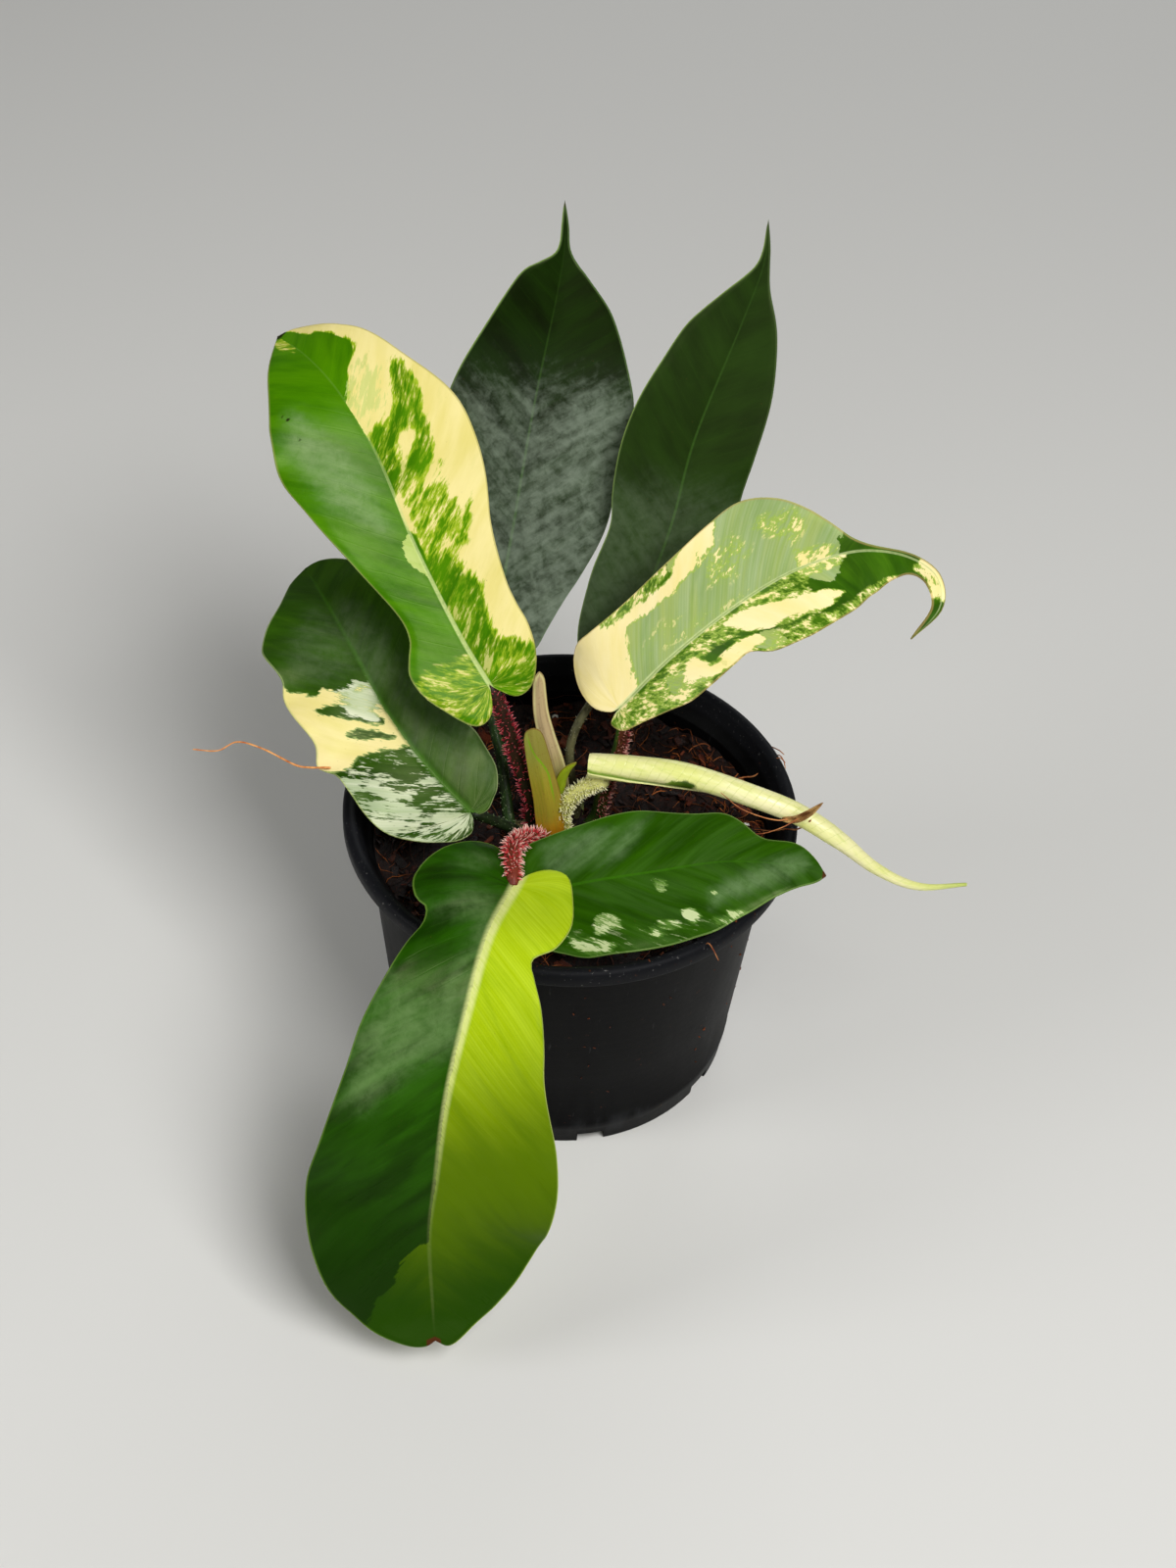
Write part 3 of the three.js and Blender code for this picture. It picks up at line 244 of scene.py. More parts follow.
# Markings, painted on the flattened blade
# Each entry paints its fields inside an outline of (distance along the rib, distance from the rib), in mm:
# the level of each field, soft edge in mm, half of the blade (-1, 1 or 0 for both), outline. Later entries
# lie on top.
# The bloom field is the leaf's waxy bloom and also its painted sheen: whitish painted highlights where the
# wax catches the light.
CREAM, PALE, BLOOM_AND_SHEEN, BROWN = range(4)
MARKINGS = {
    "leaf_1": [
        ({CREAM: 1}, 2, 1, [(148, 0), (148, 3), (142, 5), (136, 6), (134, 9), (128, 12), (122, 14),
            (118, 14), (115, 10), (113, 7), (109, 4), (106, 2), (101, 0), (64, 0), (56, 2), (44, 2),
            (34, 3), (24, 4), (12, 4), (1, 2), (-12, 10), (-12, 24), (3, 26), (40, 30), (72, 38), (100, 34),
            (150, 12)]),
        ({CREAM: .26}, 3, 1, [(108, 20), (106, 24), (102, 24), (96, 24), (90, 20), (89, 22), (82, 20),
            (78, 18), (74, 14), (72, 7), (69, 4), (70, 0), (78, 0), (85, 0), (92, 0), (93, 2), (94, 8),
            (92, 8), (96, 13), (100, 14), (104, 17)]),
        ({CREAM: .97}, 2, 1, [(88, 12), (86, 16), (83, 13), (81, 9), (82, 6), (84, 7), (87, 10)]),
        ({CREAM: .36}, 3, 1, [(76, 18), (75, 20), (72, 18), (68, 19), (64, 17), (61, 20), (58, 18),
            (62, 24), (55, 22), (51, 19), (46, 18), (44, 14), (42, 10), (44, 6), (48, 3), (58, 2), (66, 2),
            (69, 6), (72, 11), (68, 12), (70, 16)]),
        ({CREAM: .24}, 3, 1, [(48, 4), (44, 10), (38, 13), (33, 15), (25, 14), (18, 11), (12, 12), (10, 16),
            (0, 24), (-14, 16), (-12, 6), (0, 0), (8, 0), (21, 0), (32, 0), (42, 1)]),
        ({CREAM: .31}, 3, 1, [(3, 4), (8, 8), (8, 14), (2, 16), (0, 10), (0, 6)]),
        ({PALE: 1}, 1.2, -1, [(60, 0), (55, -4), (52, -4), (48, -5), (43, -2), (37, 0)]),
        ({CREAM: .29}, 5, -1, [(20, -1.5), (14, -2), (14, -7), (16, -14), (14, -24), (10, -27), (-2, -24),
            (-14, -14), (-12, -2), (-1, 0), (5, 0), (13, 0)]),
        ({CREAM: .36}, 2, -1, [(146, 0), (146, -4), (138, -5), (132, -2), (138, 0)]),
        ({PALE: .5}, 6, 1, [(116, 10), (114, 17), (106, 16), (98, 12), (92, 3), (106, 1)]),
        ({BLOOM_AND_SHEEN: .9}, 12, -1, [(112, -18), (109, -14), (102, -12), (88, -7), (74, -4), (60, -4), (58, -8),
            (66, -16), (76, -24), (94, -27), (106, -26)]),
        ({BROWN: .9}, .8, -1, [(112, -21), (109, -19.2), (105, -19.6), (105, -20.4), (109, -20),
            (112, -21.6)]),
        ({BROWN: .8}, .8, -1, [(101, -19.5), (103, -19.2), (103, -20.8), (101, -20.6)]),
        ({BROWN: 1}, 1.5, 0, [(146.5, -3), (146.5, 3), (152, 3), (152, -3)]),
    ],
    "leaf_2": [
        ({BLOOM_AND_SHEEN: .85}, 40, 0, [(-12, -40), (-12, 40), (94, 40), (90, -40)]),
        ({BLOOM_AND_SHEEN: .95}, 30, 1, [(-4, 2), (-4, 34), (50, 42), (94, 40), (88, 18), (66, 2)]),
        ({BROWN: .8}, 1, -1, [(47, -26), (50, -28), (51, -26), (48, -24.5)]),
        ({BROWN: .5}, 1, 0, [(145, -2), (145, 2), (152, 2), (152, -2)]),
    ],
    "leaf_3": [
        ({BLOOM_AND_SHEEN: .78}, 28, 0, [(-20, -42), (-20, 42), (68, 42), (60, -42)]),
    ],
    "leaf_4": [
        ({PALE: 1}, 2, -1, [(-12, -34), (30, -32), (75, -32), (86, -28), (94, -17), (98, -6), (100, -4),
            (95, -2), (90, 0), (-14, 0)]),
        ({CREAM: 1}, 6, -1, [(8, -30), (15, -27), (20, -20), (17, -14), (14, -8), (12, -4), (8, 0),
            (-14, 0), (-14, -10), (-12, -30)]),
        ({CREAM: 1}, 1.5, -1, [(65, -27), (60, -20), (52, -18), (42, -16), (32, -16), (22, -18), (16, -18),
            (16, -12), (12, -16), (12, -22), (24, -22), (32, -20), (41, -20), (46, -23), (52, -26),
            (59, -28)]),
        ({PALE: 0, CREAM: .37}, 1.5, -1, [(13, -30), (30, -30), (45, -26), (44, -20), (34, -20), (26, -21),
            (20, -22), (14, -22)]),
        ({CREAM: .37}, 7, -1, [(72, -22), (78, -22), (87, -20), (89, -12), (82, -7), (78, -10), (72, -17)]),
        ({CREAM: .32}, 8, -1, [(54, -20), (68, -22), (72, -12), (60, -6), (48, -10)]),
        ({CREAM: .55}, 5, -1, [(80, -6), (90, -5), (95, -3), (88, 0), (79, 0)]),
        ({CREAM: .24}, 7, -1, [(29, -14), (54, -5), (74, -3), (66, 0), (43, 0), (19, -4), (14, -8)]),
        ({PALE: 0, CREAM: 0}, 1.2, -1, [(95, -5), (98, -8), (112, -6), (112, 0), (88, 0), (94, -1.5)]),
        ({CREAM: .38}, 3, 1, [(-10, 2), (-8, 0), (7, 0), (22, 4), (36, 14), (34, 20), (20, 20), (-6, 12)]),
        ({CREAM: .34}, 3, 1, [(12, 2), (24, 0), (36, 0), (45, 0), (56, 0), (66, 0), (78, 1), (83, 4),
            (81, 9), (68, 6), (58, 6), (50, 9), (41, 8), (33, 9), (20, 6)]),
        ({CREAM: 1}, 2, 1, [(47, 3), (54, 2), (64, 5), (75, 8), (88, 10), (93, 12), (85, 15), (72, 14),
            (64, 13), (55, 10)]),
        ({PALE: 1}, 1.5, 1, [(57, 12), (64, 14), (64, 19), (58, 20), (54, 15)]),
        ({CREAM: .93}, 2, 1, [(32, 4), (38, 12), (50, 10), (57, 12), (58, 16), (49, 16), (39, 16), (33, 14),
            (26, 10)]),
        ({PALE: .9}, 2, 1, [(20, 4), (33, 10), (36, 16), (20, 12)]),
        ({CREAM: .34}, 3, 1, [(36, 16), (46, 16), (60, 14), (72, 15), (85, 16), (94, 15), (106, 10),
            (116, 5), (122, 12), (99, 24), (82, 26), (55, 24), (36, 20)]),
        ({CREAM: 0}, 2, 1, [(92, 1), (102, 0), (112, 0), (121, 0), (120, 2), (112, 7), (104, 9), (95, 10),
            (88, 8)]),
        ({PALE: 1}, 1.5, 1, [(78, 1.5), (86, 0), (94, 0), (100, 1.5), (93, 4), (90, 8), (85, 6), (82, 4)]),
        ({CREAM: .55}, 1.5, 1, [(78, 1.5), (86, 0), (94, 0), (100, 1.5), (94, 3), (88, 4), (82, 4)]),
        ({CREAM: .8}, 2, 0, [(120, -4), (120, 3), (136, 4), (136, -3)]),
    ],
    "leaf_5": [
        ({CREAM: 1}, 1.8, -1, [(72, -33), (70, -28), (66, -27), (64, -23), (60, -20), (60, -18), (62, -16),
            (58, -12), (57, -7), (58, -5), (56, 0), (28, 0), (36, -12), (38, -18), (36, -22), (38, -27),
            (42, -36)]),
        ({PALE: 1, CREAM: .2}, 9, -1, [(60, -12), (57, -1), (49, -1), (45, -7), (52, -13)]),
        ({CREAM: .1}, 1.2, -1, [(56.5, -23), (56, -16), (52, -10), (47.5, -5), (43.5, -2), (42, -3),
            (45.5, -8), (50, -14), (53, -20)]),
        ({CREAM: .22}, 1.2, -1, [(46.5, -18), (46, -12), (42.8, -7), (37, -2), (36, -3), (38.5, -8),
            (42, -14)]),
        ({PALE: .53, CREAM: .15}, 4, -1, [(42, -36), (38, -27), (36, -22), (38, -18), (36, -12), (30, 0),
            (-8, 0), (-10, -10), (2, -30), (28, -36)]),
        ({PALE: .75}, 5, -1, [(24, -21), (18, -16), (10, -14), (6, -18), (10, -22), (15, -26), (20, -26)]),
        ({PALE: .68}, 4, -1, [(12, -6), (0, -4), (-4, -4), (-3, -10), (6, -12)]),
        ({CREAM: 0}, 2, -1, [(14, -30), (8, -21), (2, -16), (0, -21), (6, -30)]),
        ({PALE: .3, CREAM: .15}, 6, -1, [(37, -14), (31, -3), (20, -2), (19, -9), (25, -18), (33, -19)]),
        ({BLOOM_AND_SHEEN: .7}, 14, 1, [(95, 4), (84, 12), (69, 14), (60, 14), (52, 12), (48, 6), (54, 0), (82, 0)]),
        ({BLOOM_AND_SHEEN: .6}, 14, -1, [(96, -4), (84, -20), (69, -26), (62, -14), (60, 0), (82, 0)]),
        ({BLOOM_AND_SHEEN: .6}, 12, 1, [(-4, 10), (2, 22), (30, 24), (58, 22), (54, 6), (34, 0), (12, 3)]),
    ],
    "leaf_6": [
        ({CREAM: .2}, 5, 1, [(8, 14), (30, 15), (48, 18), (72, 18), (72, 22), (54, 30), (35, 30), (15, 30),
            (2, 24)]),
        ({PALE: .8, CREAM: .5}, 2.5, 1, [(18, 13), (22, 12), (26, 14), (27, 16), (26, 18), (22, 18),
            (20, 20), (17, 19)]),
        ({CREAM: .62}, 2, 1, [(8, 18), (12, 20), (18, 22), (24, 24), (22, 26), (14, 26), (9, 23)]),
        ({PALE: .7, CREAM: .35}, 2, 1, [(38, 2), (44, 3), (44, 6), (42, 9), (40, 8), (39, 5)]),
        ({CREAM: .95}, 1.5, 1, [(46.5, 16), (49, 15), (51.5, 16.5), (52, 18), (49, 20), (47, 18)]),
        ({CREAM: .75}, 1.5, 1, [(36.5, 19.5), (38.5, 19.5), (39.5, 22.5), (37, 22.5)]),
        ({CREAM: .7}, 1, 1, [(57.5, 10.5), (59.5, 10), (59.5, 12), (58, 12)]),
        ({CREAM: .55}, 2, 1, [(62, 17.5), (70, 17.5), (73, 18.5), (65, 20.5)]),
        ({CREAM: .5}, 2, 1, [(39, 17.5), (44, 18.5), (45, 21), (40, 20.5)]),
        ({CREAM: .42}, 2, 1, [(56, 19.5), (64, 19.5), (66, 22), (58, 22.5)]),
        ({BLOOM_AND_SHEEN: .8}, 7, 0, [(4, -18), (12, -20), (24, -20), (31, -18), (24, -10), (14, -4), (6, -4),
            (3, -10)]),
        ({BLOOM_AND_SHEEN: .85}, 7, 0, [(56, 10), (66, 6), (81, -2), (90, -6), (95, -2), (86, 6), (72, 12),
            (56, 17)]),
        ({BLOOM_AND_SHEEN: .7}, 6, 0, [(34, -20), (44, -22), (30, -6), (20, -4)]),
        ({BROWN: 1}, .8, 0, [(98, -2), (98, 3), (101, 3), (101, -2)]),
    ],
    "leaf_7": [
        ({PALE: 1}, 1.5, -1, [(-20, 0), (176, 0), (176, -50), (-20, -50)]),
        ({PALE: .92}, 2, 1, [(132, 0), (136, 4), (140, 9), (146, 12), (149, 12), (154, 18), (160, 20),
            (163, 24), (174, 22), (176, 0)]),
        ({BLOOM_AND_SHEEN: .85}, 15, 1, [(22, 26), (24, 20), (9, 14), (6, 3), (22, 1), (38, 2), (62, 1), (72, 10),
            (88, 24), (86, 33), (60, 32), (45, 26), (47, 13), (32, 5), (22, 6), (24, 18)]),
        ({BLOOM_AND_SHEEN: .55}, 6, 1, [(-10, 8), (-4, 8), (2, 14), (3, 22), (-4, 22), (-11, 15)]),
        ({BROWN: .9}, 1, 0, [(170, 3), (169, 0), (170, -2), (176, -2), (176, 3)]),
    ],
}


# Lines and surfaces
def unit(v):
    return v / np.linalg.norm(v, axis=-1, keepdims=True)


def smooth(value, low, high):
    t = np.clip((value - low) / (high - low), 0, 1)
    return t * t * (3 - 2 * t)


class Spine:
    """A smooth line through points, measured along its own length."""

    def __init__(self, points, divisions=400):
        p = np.array(points, float)
        self.points = np.vstack([2 * p[0] - p[1], p, 2 * p[-1] - p[-2]])
        self.spans = len(points) - 1
        self.shares = np.linspace(0, 1, divisions + 1)
        steps = np.linalg.norm(np.diff(self.raw(self.shares), axis=0), axis=1)
        self.run = np.concatenate([[0], np.cumsum(steps)])
        self.length = self.run[-1]

    def raw(self, t):
        f = np.clip(t, 0, 1) * self.spans
        i = np.minimum(f.astype(int), self.spans - 1)
        f = (f - i)[..., None]
        a, b, c, d = (self.points[i + k] for k in range(4))
        m, n = 0.5 * (c - a), 0.5 * (d - b)
        return b + m * f + (3 * (c - b) - 2 * m - n) * f**2 + (2 * (b - c) + m + n) * f**3

    def share(self, u):
        return np.interp(np.asarray(u, float) * self.length, self.run, self.shares)

    def at(self, u):
        return self.raw(self.share(u))

    def tangent(self, u):
        t = self.share(u)
        return unit(self.raw(np.clip(t + 1e-4, 0, 1)) - self.raw(np.clip(t - 1e-4, 0, 1)))

    def frames(self, u):
        """A tangent and two directions across it for each share, without any twist."""
        t = self.tangent(u)
        a = np.zeros_like(t)
        first = np.cross(t[0], [0, 0, 1]) if abs(t[0][2]) < 0.9 else np.cross(t[0], [0, 1, 0])
        a[0] = unit(first)
        for i in range(1, len(t)):
            a[i] = unit(a[i - 1] - t[i] * (a[i - 1] @ t[i]))
        return t, a, np.cross(t, a)


class Surface:
    """The middle surface of a blade: x along the rib, w across it."""

    def __init__(self, rib, face, cup, wave=(0, 1, 0)):
        self.spine = Spine(rib)
        self.length = self.spine.length
        self.face = [np.array(f, float) for f in face]
        self.cup, self.wave = cup, wave
        self.flat = math.sqrt(1 - min(0.9, cup * cup))

    def at(self, x, w):
        x, w = np.broadcast_arrays(np.asarray(x, float), np.asarray(w, float))
        xc = np.clip(x, 0, self.length)
        u = xc / self.length
        t = self.spine.tangent(u)
        p = self.spine.at(u) + t * (x - xc)[..., None]
        n = self.face[0] * (1 - u)[..., None] + self.face[1] * u[..., None]
        n = unit(n - t * (n * t).sum(-1, keepdims=True))
        side = np.cross(t, n)
        height, spacing, phase = self.wave
        turn = 2 * np.pi * x / spacing + phase + np.where(w > 0, WAVE_SHIFT, 0)
        ripple = height * (w / WAVE_REACH) ** 2 * np.sin(turn)
        return p + side * (w * self.flat)[..., None] + n * (self.cup * np.abs(w) + ripple)[..., None]

    def normal(self, x, w):
        across = self.at(x, w + 0.5) - self.at(x, w - 0.5)
        return unit(np.cross(across, self.at(x + 0.5, w) - self.at(x - 0.5, w)))


def edge_stations(outline, sign, length, lobe, main, tip):
    """Side veins of one half: where each leaves the rib, where it meets the edge, and its running count."""
    knots = [(0, 0)] + [(x, w * sign) for x, w in outline] + [(length, 0)]
    line = Spine([(x, w, 0) for x, w in knots], 2)
    dense = line.raw(np.linspace(0, 1, len(knots) * 24 + 1))[:, :2]
    foot = np.maximum.accumulate(np.maximum(0, dense[:, 0] - VEIN_SLANT * np.abs(dense[:, 1])))

    def index_at(r):
        hits = np.nonzero((foot >= r) & (foot > 0))[0]
        if not len(hits) or hits[0] < 1:
            return len(dense) - 1.0
        i = hits[0]
        return i - 1 + min(1, max(0, (r - foot[i - 1]) / (foot[i] - foot[i - 1])))

    def point_at(f):
        i = min(int(f), len(dense) - 2)
        return dense[i] + (dense[i + 1] - dense[i]) * (f - i)

    last_rib = TIP_FAN * length
    lobe_end, tip_start = index_at(0), index_at(last_rib)
    rows = []
    for i in range(lobe):
        rows.append((0, *point_at(lobe_end * i / lobe), -LOBE_COUNT * (1 - i / lobe)))
    for i in range(main):
        r = last_rib * i / main
        rows.append((r, *point_at(index_at(r) if i else lobe_end), r / 10))
    for i in range(tip):
        f = tip_start + (len(dense) - 1 - tip_start) * i / tip
        rows.append((last_rib, *point_at(f), last_rib / 10 + TIP_COUNT * i))
    rows.append((last_rib, length, 0, last_rib / 10 + TIP_COUNT * tip))
    return np.array(rows, float).T


def inside_by(outline, x, w):
    """How far inside a closed outline each point lies, in mm; negative outside."""
    best, inside = np.full(x.shape, 1e9), np.zeros(x.shape, bool)
    corners = np.array(outline, float)
    for (ax, ay), (bx, by) in zip(corners, np.roll(corners, -1, 0)):
        ex, ey = bx - ax, by - ay
        t = np.clip(((x - ax) * ex + (w - ay) * ey) / (ex * ex + ey * ey + 1e-9), 0, 1)
        best = np.minimum(best, np.hypot(x - ax - t * ex, w - ay - t * ey))
        if ay != by:
            inside ^= ((ay > w) != (by > w)) & (x < ex * (w - ay) / ey + ax)
    return np.where(inside, best, -best)


def painted(name, x, w, side):
    """The four fields of a blade's markings at each point."""
    fields = np.zeros(x.shape + (4,))
    for levels, soft, half, outline in MARKINGS.get(name, []):
        if half:
            outline = [(a, b if abs(b) > NEAR_RIB else -PAST_RIB * half) for a, b in outline]
        cover = smooth(inside_by(outline, x, w), -soft / 2, soft / 2)
        if half:
            cover = cover * ((side == half) | ((side == 0) & (half == 1)))
        for field, level in levels.items():
            fields[..., field] += (level - fields[..., field]) * cover
    return fields


# Mesh making
def rest():
    """Leaves edit mode and selects nothing."""
    if bpy.context.object and bpy.context.object.mode != "OBJECT":
        bpy.ops.object.mode_set(mode="OBJECT")
    bpy.ops.object.select_all(action="DESELECT")


def take(piece):
    rest()
    piece.select_set(True)
    bpy.context.view_layer.objects.active = piece


def named(name):
    piece = bpy.context.object
    piece.name = piece.data.name = name
    return piece


def begin_edit():
    """Opens the active piece in edit mode with all of it selected."""
    bpy.ops.object.mode_set(mode="EDIT")
    bpy.ops.mesh.select_all(action="SELECT")


def end_edit():
    bpy.ops.object.mode_set(mode="OBJECT")


def face_outwards(piece, merge=None):
    """Merges doubles where a distance (mm) is given, and turns every face outwards."""
    take(piece)
    begin_edit()
    if merge:
        bpy.ops.mesh.remove_doubles(threshold=merge * MM)
    bpy.ops.mesh.normals_make_consistent(inside=False)
    end_edit()


def tidy(piece, merge=0.01, angle=55):
    """Merges doubles, turns every face outwards and shades the piece smooth up to an angle."""
    face_outwards(piece, merge)
    bpy.ops.object.shade_smooth_by_angle(angle=math.radians(angle))
    return piece


def add_zones(mesh, fields):
    """Keeps four painted fields for each point of a mesh."""
    layer = mesh.color_attributes.new(name="zones", type="FLOAT_COLOR", domain="POINT")
    layer.data.foreach_set("color", np.asarray(fields, np.float32).ravel())


def laid_grid(name, points, maps, fields=None, edge=None):
    """A grid primitive laid out over rows and columns of points, with its maps and painted fields."""
    rows, columns = points.shape[:2]
    rest()
    bpy.ops.mesh.primitive_grid_add(x_subdivisions=columns - 1, y_subdivisions=rows - 1, size=1,
        calc_uvs=False)
    piece = named(name)
    mesh = piece.data
    count = rows * columns
    place = np.empty(count * 3)
    mesh.vertices.foreach_get("co", place)
    place = place.reshape(-1, 3)
    points = np.clip(points, BOX_LOW, BOX_HIGH)
    order = np.lexsort((np.round(place[:, 0], 5), np.round(place[:, 1], 5)))
    place[order] = points.reshape(-1, 3) * MM
    mesh.vertices.foreach_set("co", place.ravel())
    spot = np.empty(count, int)
    spot[order] = np.arange(count)
    corner = np.empty(len(mesh.loops), int)
    mesh.loops.foreach_get("vertex_index", corner)
    for key, values in maps:
        layer = mesh.uv_layers.new(name=key)
        layer.data.foreach_set("uv", values.reshape(-1, 2)[spot[corner]].astype(np.float32).ravel())
    if fields is not None:
        add_zones(mesh, fields.reshape(-1, 4)[spot])
    if edge is not None:
        layer = mesh.attributes.new("edge", "FLOAT", "POINT")
        layer.data.foreach_set("value", edge.reshape(-1)[spot].astype(np.float32))
    mesh.update()
    return piece


def joined(name, pieces):
    take(pieces[0])
    for piece in pieces[1:]:
        piece.select_set(True)
    bpy.ops.object.join()
    return named(name)


class Heap:
    """Many small modelled shapes, gathered to become one piece with painted fields."""

    def __init__(self):
        self.corners, self.faces, self.fields = [], [], []
        self.total = 0

    def add(self, corners, faces, fields):
        self.corners.append(corners)
        self.faces += [tuple(self.total + k for k in face) for face in faces]
        self.fields.append(np.broadcast_to(fields, (len(corners), 4)))
        self.total += len(corners)

    def piece(self, name):
        mesh = bpy.data.meshes.new(name)
        mesh.from_pydata((np.concatenate(self.corners) * MM).tolist(), [], self.faces)
        add_zones(mesh, np.concatenate(self.fields))
        piece = bpy.data.objects.new(name, mesh)
        bpy.context.scene.collection.objects.link(piece)
        return piece


def model_of(piece):
    """Takes a modelled shape's corners (mm) and faces and removes its object."""
    corners = np.array([v.co for v in piece.data.vertices], float) / MM
    faces = [tuple(p.vertices) for p in piece.data.polygons]
    mesh = piece.data
    bpy.data.objects.remove(piece)
    bpy.data.meshes.remove(mesh)
    return corners, faces


def dress(piece, *materials, slot=None, replaces=()):
    """Gives a piece its materials, side by side as its faces say, and rides it on the plant's body."""
    places = [min(face.material_index, len(materials) - 1) for face in piece.data.polygons]
    piece.data.materials.clear()
    for material in materials:
        piece.data.materials.append(material)
    piece.data.polygons.foreach_set("material_index", places)
    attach(piece, "root")
    if replaces:
        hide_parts(*replaces)
    return piece


# Materials
def rgb(code):
    """A colour from its usual hexadecimal code, in linear light."""
    parts = [int(code[i:i + 2], 16) / 255 for i in (1, 3, 5)]
    return *(c / 12.92 if c <= 0.04045 else ((c + 0.055) / 1.055) ** 2.4 for c in parts), 1


class Finish:
    """A material being made: each method adds a node and gives back what it puts out."""

    def __init__(self, name, **constants):
        self.material = bpy.data.materials.new(name)
        self.material.use_nodes = True
        self.tree = self.material.node_tree
        self.tree.nodes.clear()
        self.skin = self.tree.nodes.new("ShaderNodeBsdfPrincipled")
        out = self.tree.nodes.new("ShaderNodeOutputMaterial")
        self.tree.links.new(self.skin.outputs[0], out.inputs[0])
        for key, value in constants.items():
            self.skin.inputs[key.replace("_", " ")].default_value = value

    def put(self, socket, value):
        if isinstance(value, bpy.types.NodeSocket):
            self.tree.links.new(value, socket)
        elif isinstance(value, str):
            socket.default_value = rgb(value)
        else:
            socket.default_value = value

    def node(self, kind, inputs=None, **settings):
        made = self.tree.nodes.new("ShaderNode" + kind)
        for key, value in settings.items():
            setattr(made, key, value)
        for key, value in (inputs or {}).items():
            self.put(made.inputs[key], value)
        return made

    def math(self, how, *values, clamp=False):
        return self.node("Math", dict(enumerate(values)), operation=how, use_clamp=clamp).outputs[0]

    def times(self, value, other):
        return self.math("MULTIPLY", value, other)

    def absolute(self, value):
        return self.math("ABSOLUTE", value)

    def sum(self, *parts):
        """The sum of (value, weight) pairs and bare values."""
        total = None
        for part in parts:
            value, weight = part if isinstance(part, tuple) else (part, 1)
            if total is None and weight == 1 and isinstance(value, bpy.types.NodeSocket):
                total = value
            elif isinstance(value, (int, float)):
                total = self.math("ADD", total, value * weight)
            else:
                total = self.math("MULTIPLY_ADD", value, weight, total if total is not None else 0.0)
        return total

    def step(self, value, low, high, to_low=0.0, to_high=1.0):
        inputs = {0: value, 1: low, 2: high, 3: to_low, 4: to_high}
        return self.node("MapRange", inputs, interpolation_type="SMOOTHSTEP").outputs[0]

    def mix(self, share, a, b):
        return self.node("Mix", {0: share, 6: a, 7: b}, data_type="RGBA").outputs[2]

    def tinted(self, colour, tint, where, weight):
        """A colour turned towards a tint by a field, and never by more than the weight."""
        return self.mix(self.times(where, weight), colour, tint)

    def map(self, name):
        return self.node("UVMap", uv_map=name).outputs[0]

    def place(self):
        return self.node("TexCoord").outputs["Object"]

    def fields(self):
        """The four painted fields of a piece."""
        made = self.node("Attribute", attribute_name="zones")
        parts = self.node("SeparateColor", {0: made.outputs["Color"]})
        return *parts.outputs[:3], made.outputs["Alpha"]

    def value_of(self, name):
        return self.node("Attribute", attribute_name=name).outputs["Fac"]

    def axes(self, vector):
        return self.node("SeparateXYZ", {0: vector}).outputs

    def drawn(self, vector, x, y, z=1.0, shift=(0, 0, 0)):
        """The same place with its axes drawn out or pressed together."""
        return self.node("Mapping", {0: vector, 1: shift, 3: (x, y, z)}).outputs[0]

    def noise(self, vector, scale, detail=3.0, roughness=0.55, distortion=0.0):
        inputs = {"Vector": vector, "Scale": scale, "Detail": detail, "Roughness": roughness,
                  "Distortion": distortion}
        return self.node("TexNoise", inputs).outputs[0]

    def grained(self, flat, x, y, detail, roughness=0.55, distortion=0.0, shift=(0, 0)):
        """Noise on a flat map, with x and y waves in a centimetre along and across."""
        return self.noise(self.drawn(flat, x, y, shift=(*shift, 0)), 1.0, detail, roughness, distortion)

    def saw(self, count):
        """1 at each whole number of a count and 0 halfway between two."""
        return self.absolute(self.sum((self.math("FRACT", count), 2.0), -1.0))

    def held(self, value, low, high):
        return self.math("MINIMUM", self.math("MAXIMUM", value, low), high)

    def cells(self, vector, scale, feature="F1"):
        fields = {"Vector": vector, "Scale": scale}
        return self.node("TexVoronoi", fields, feature=feature).outputs["Distance"]

    def bump(self, height, depth, strength):
        """Low relief: depth in mm."""
        return self.node("Bump", {"Height": height, "Distance": depth * MM, "Strength": strength}).outputs[0]

    def done(self, colour, roughness, relief=None):
        self.put(self.skin.inputs["Base Color"], colour)
        self.put(self.skin.inputs["Roughness"], roughness)
        if relief is not None:
            self.put(self.skin.inputs["Normal"], relief)
        return self.material


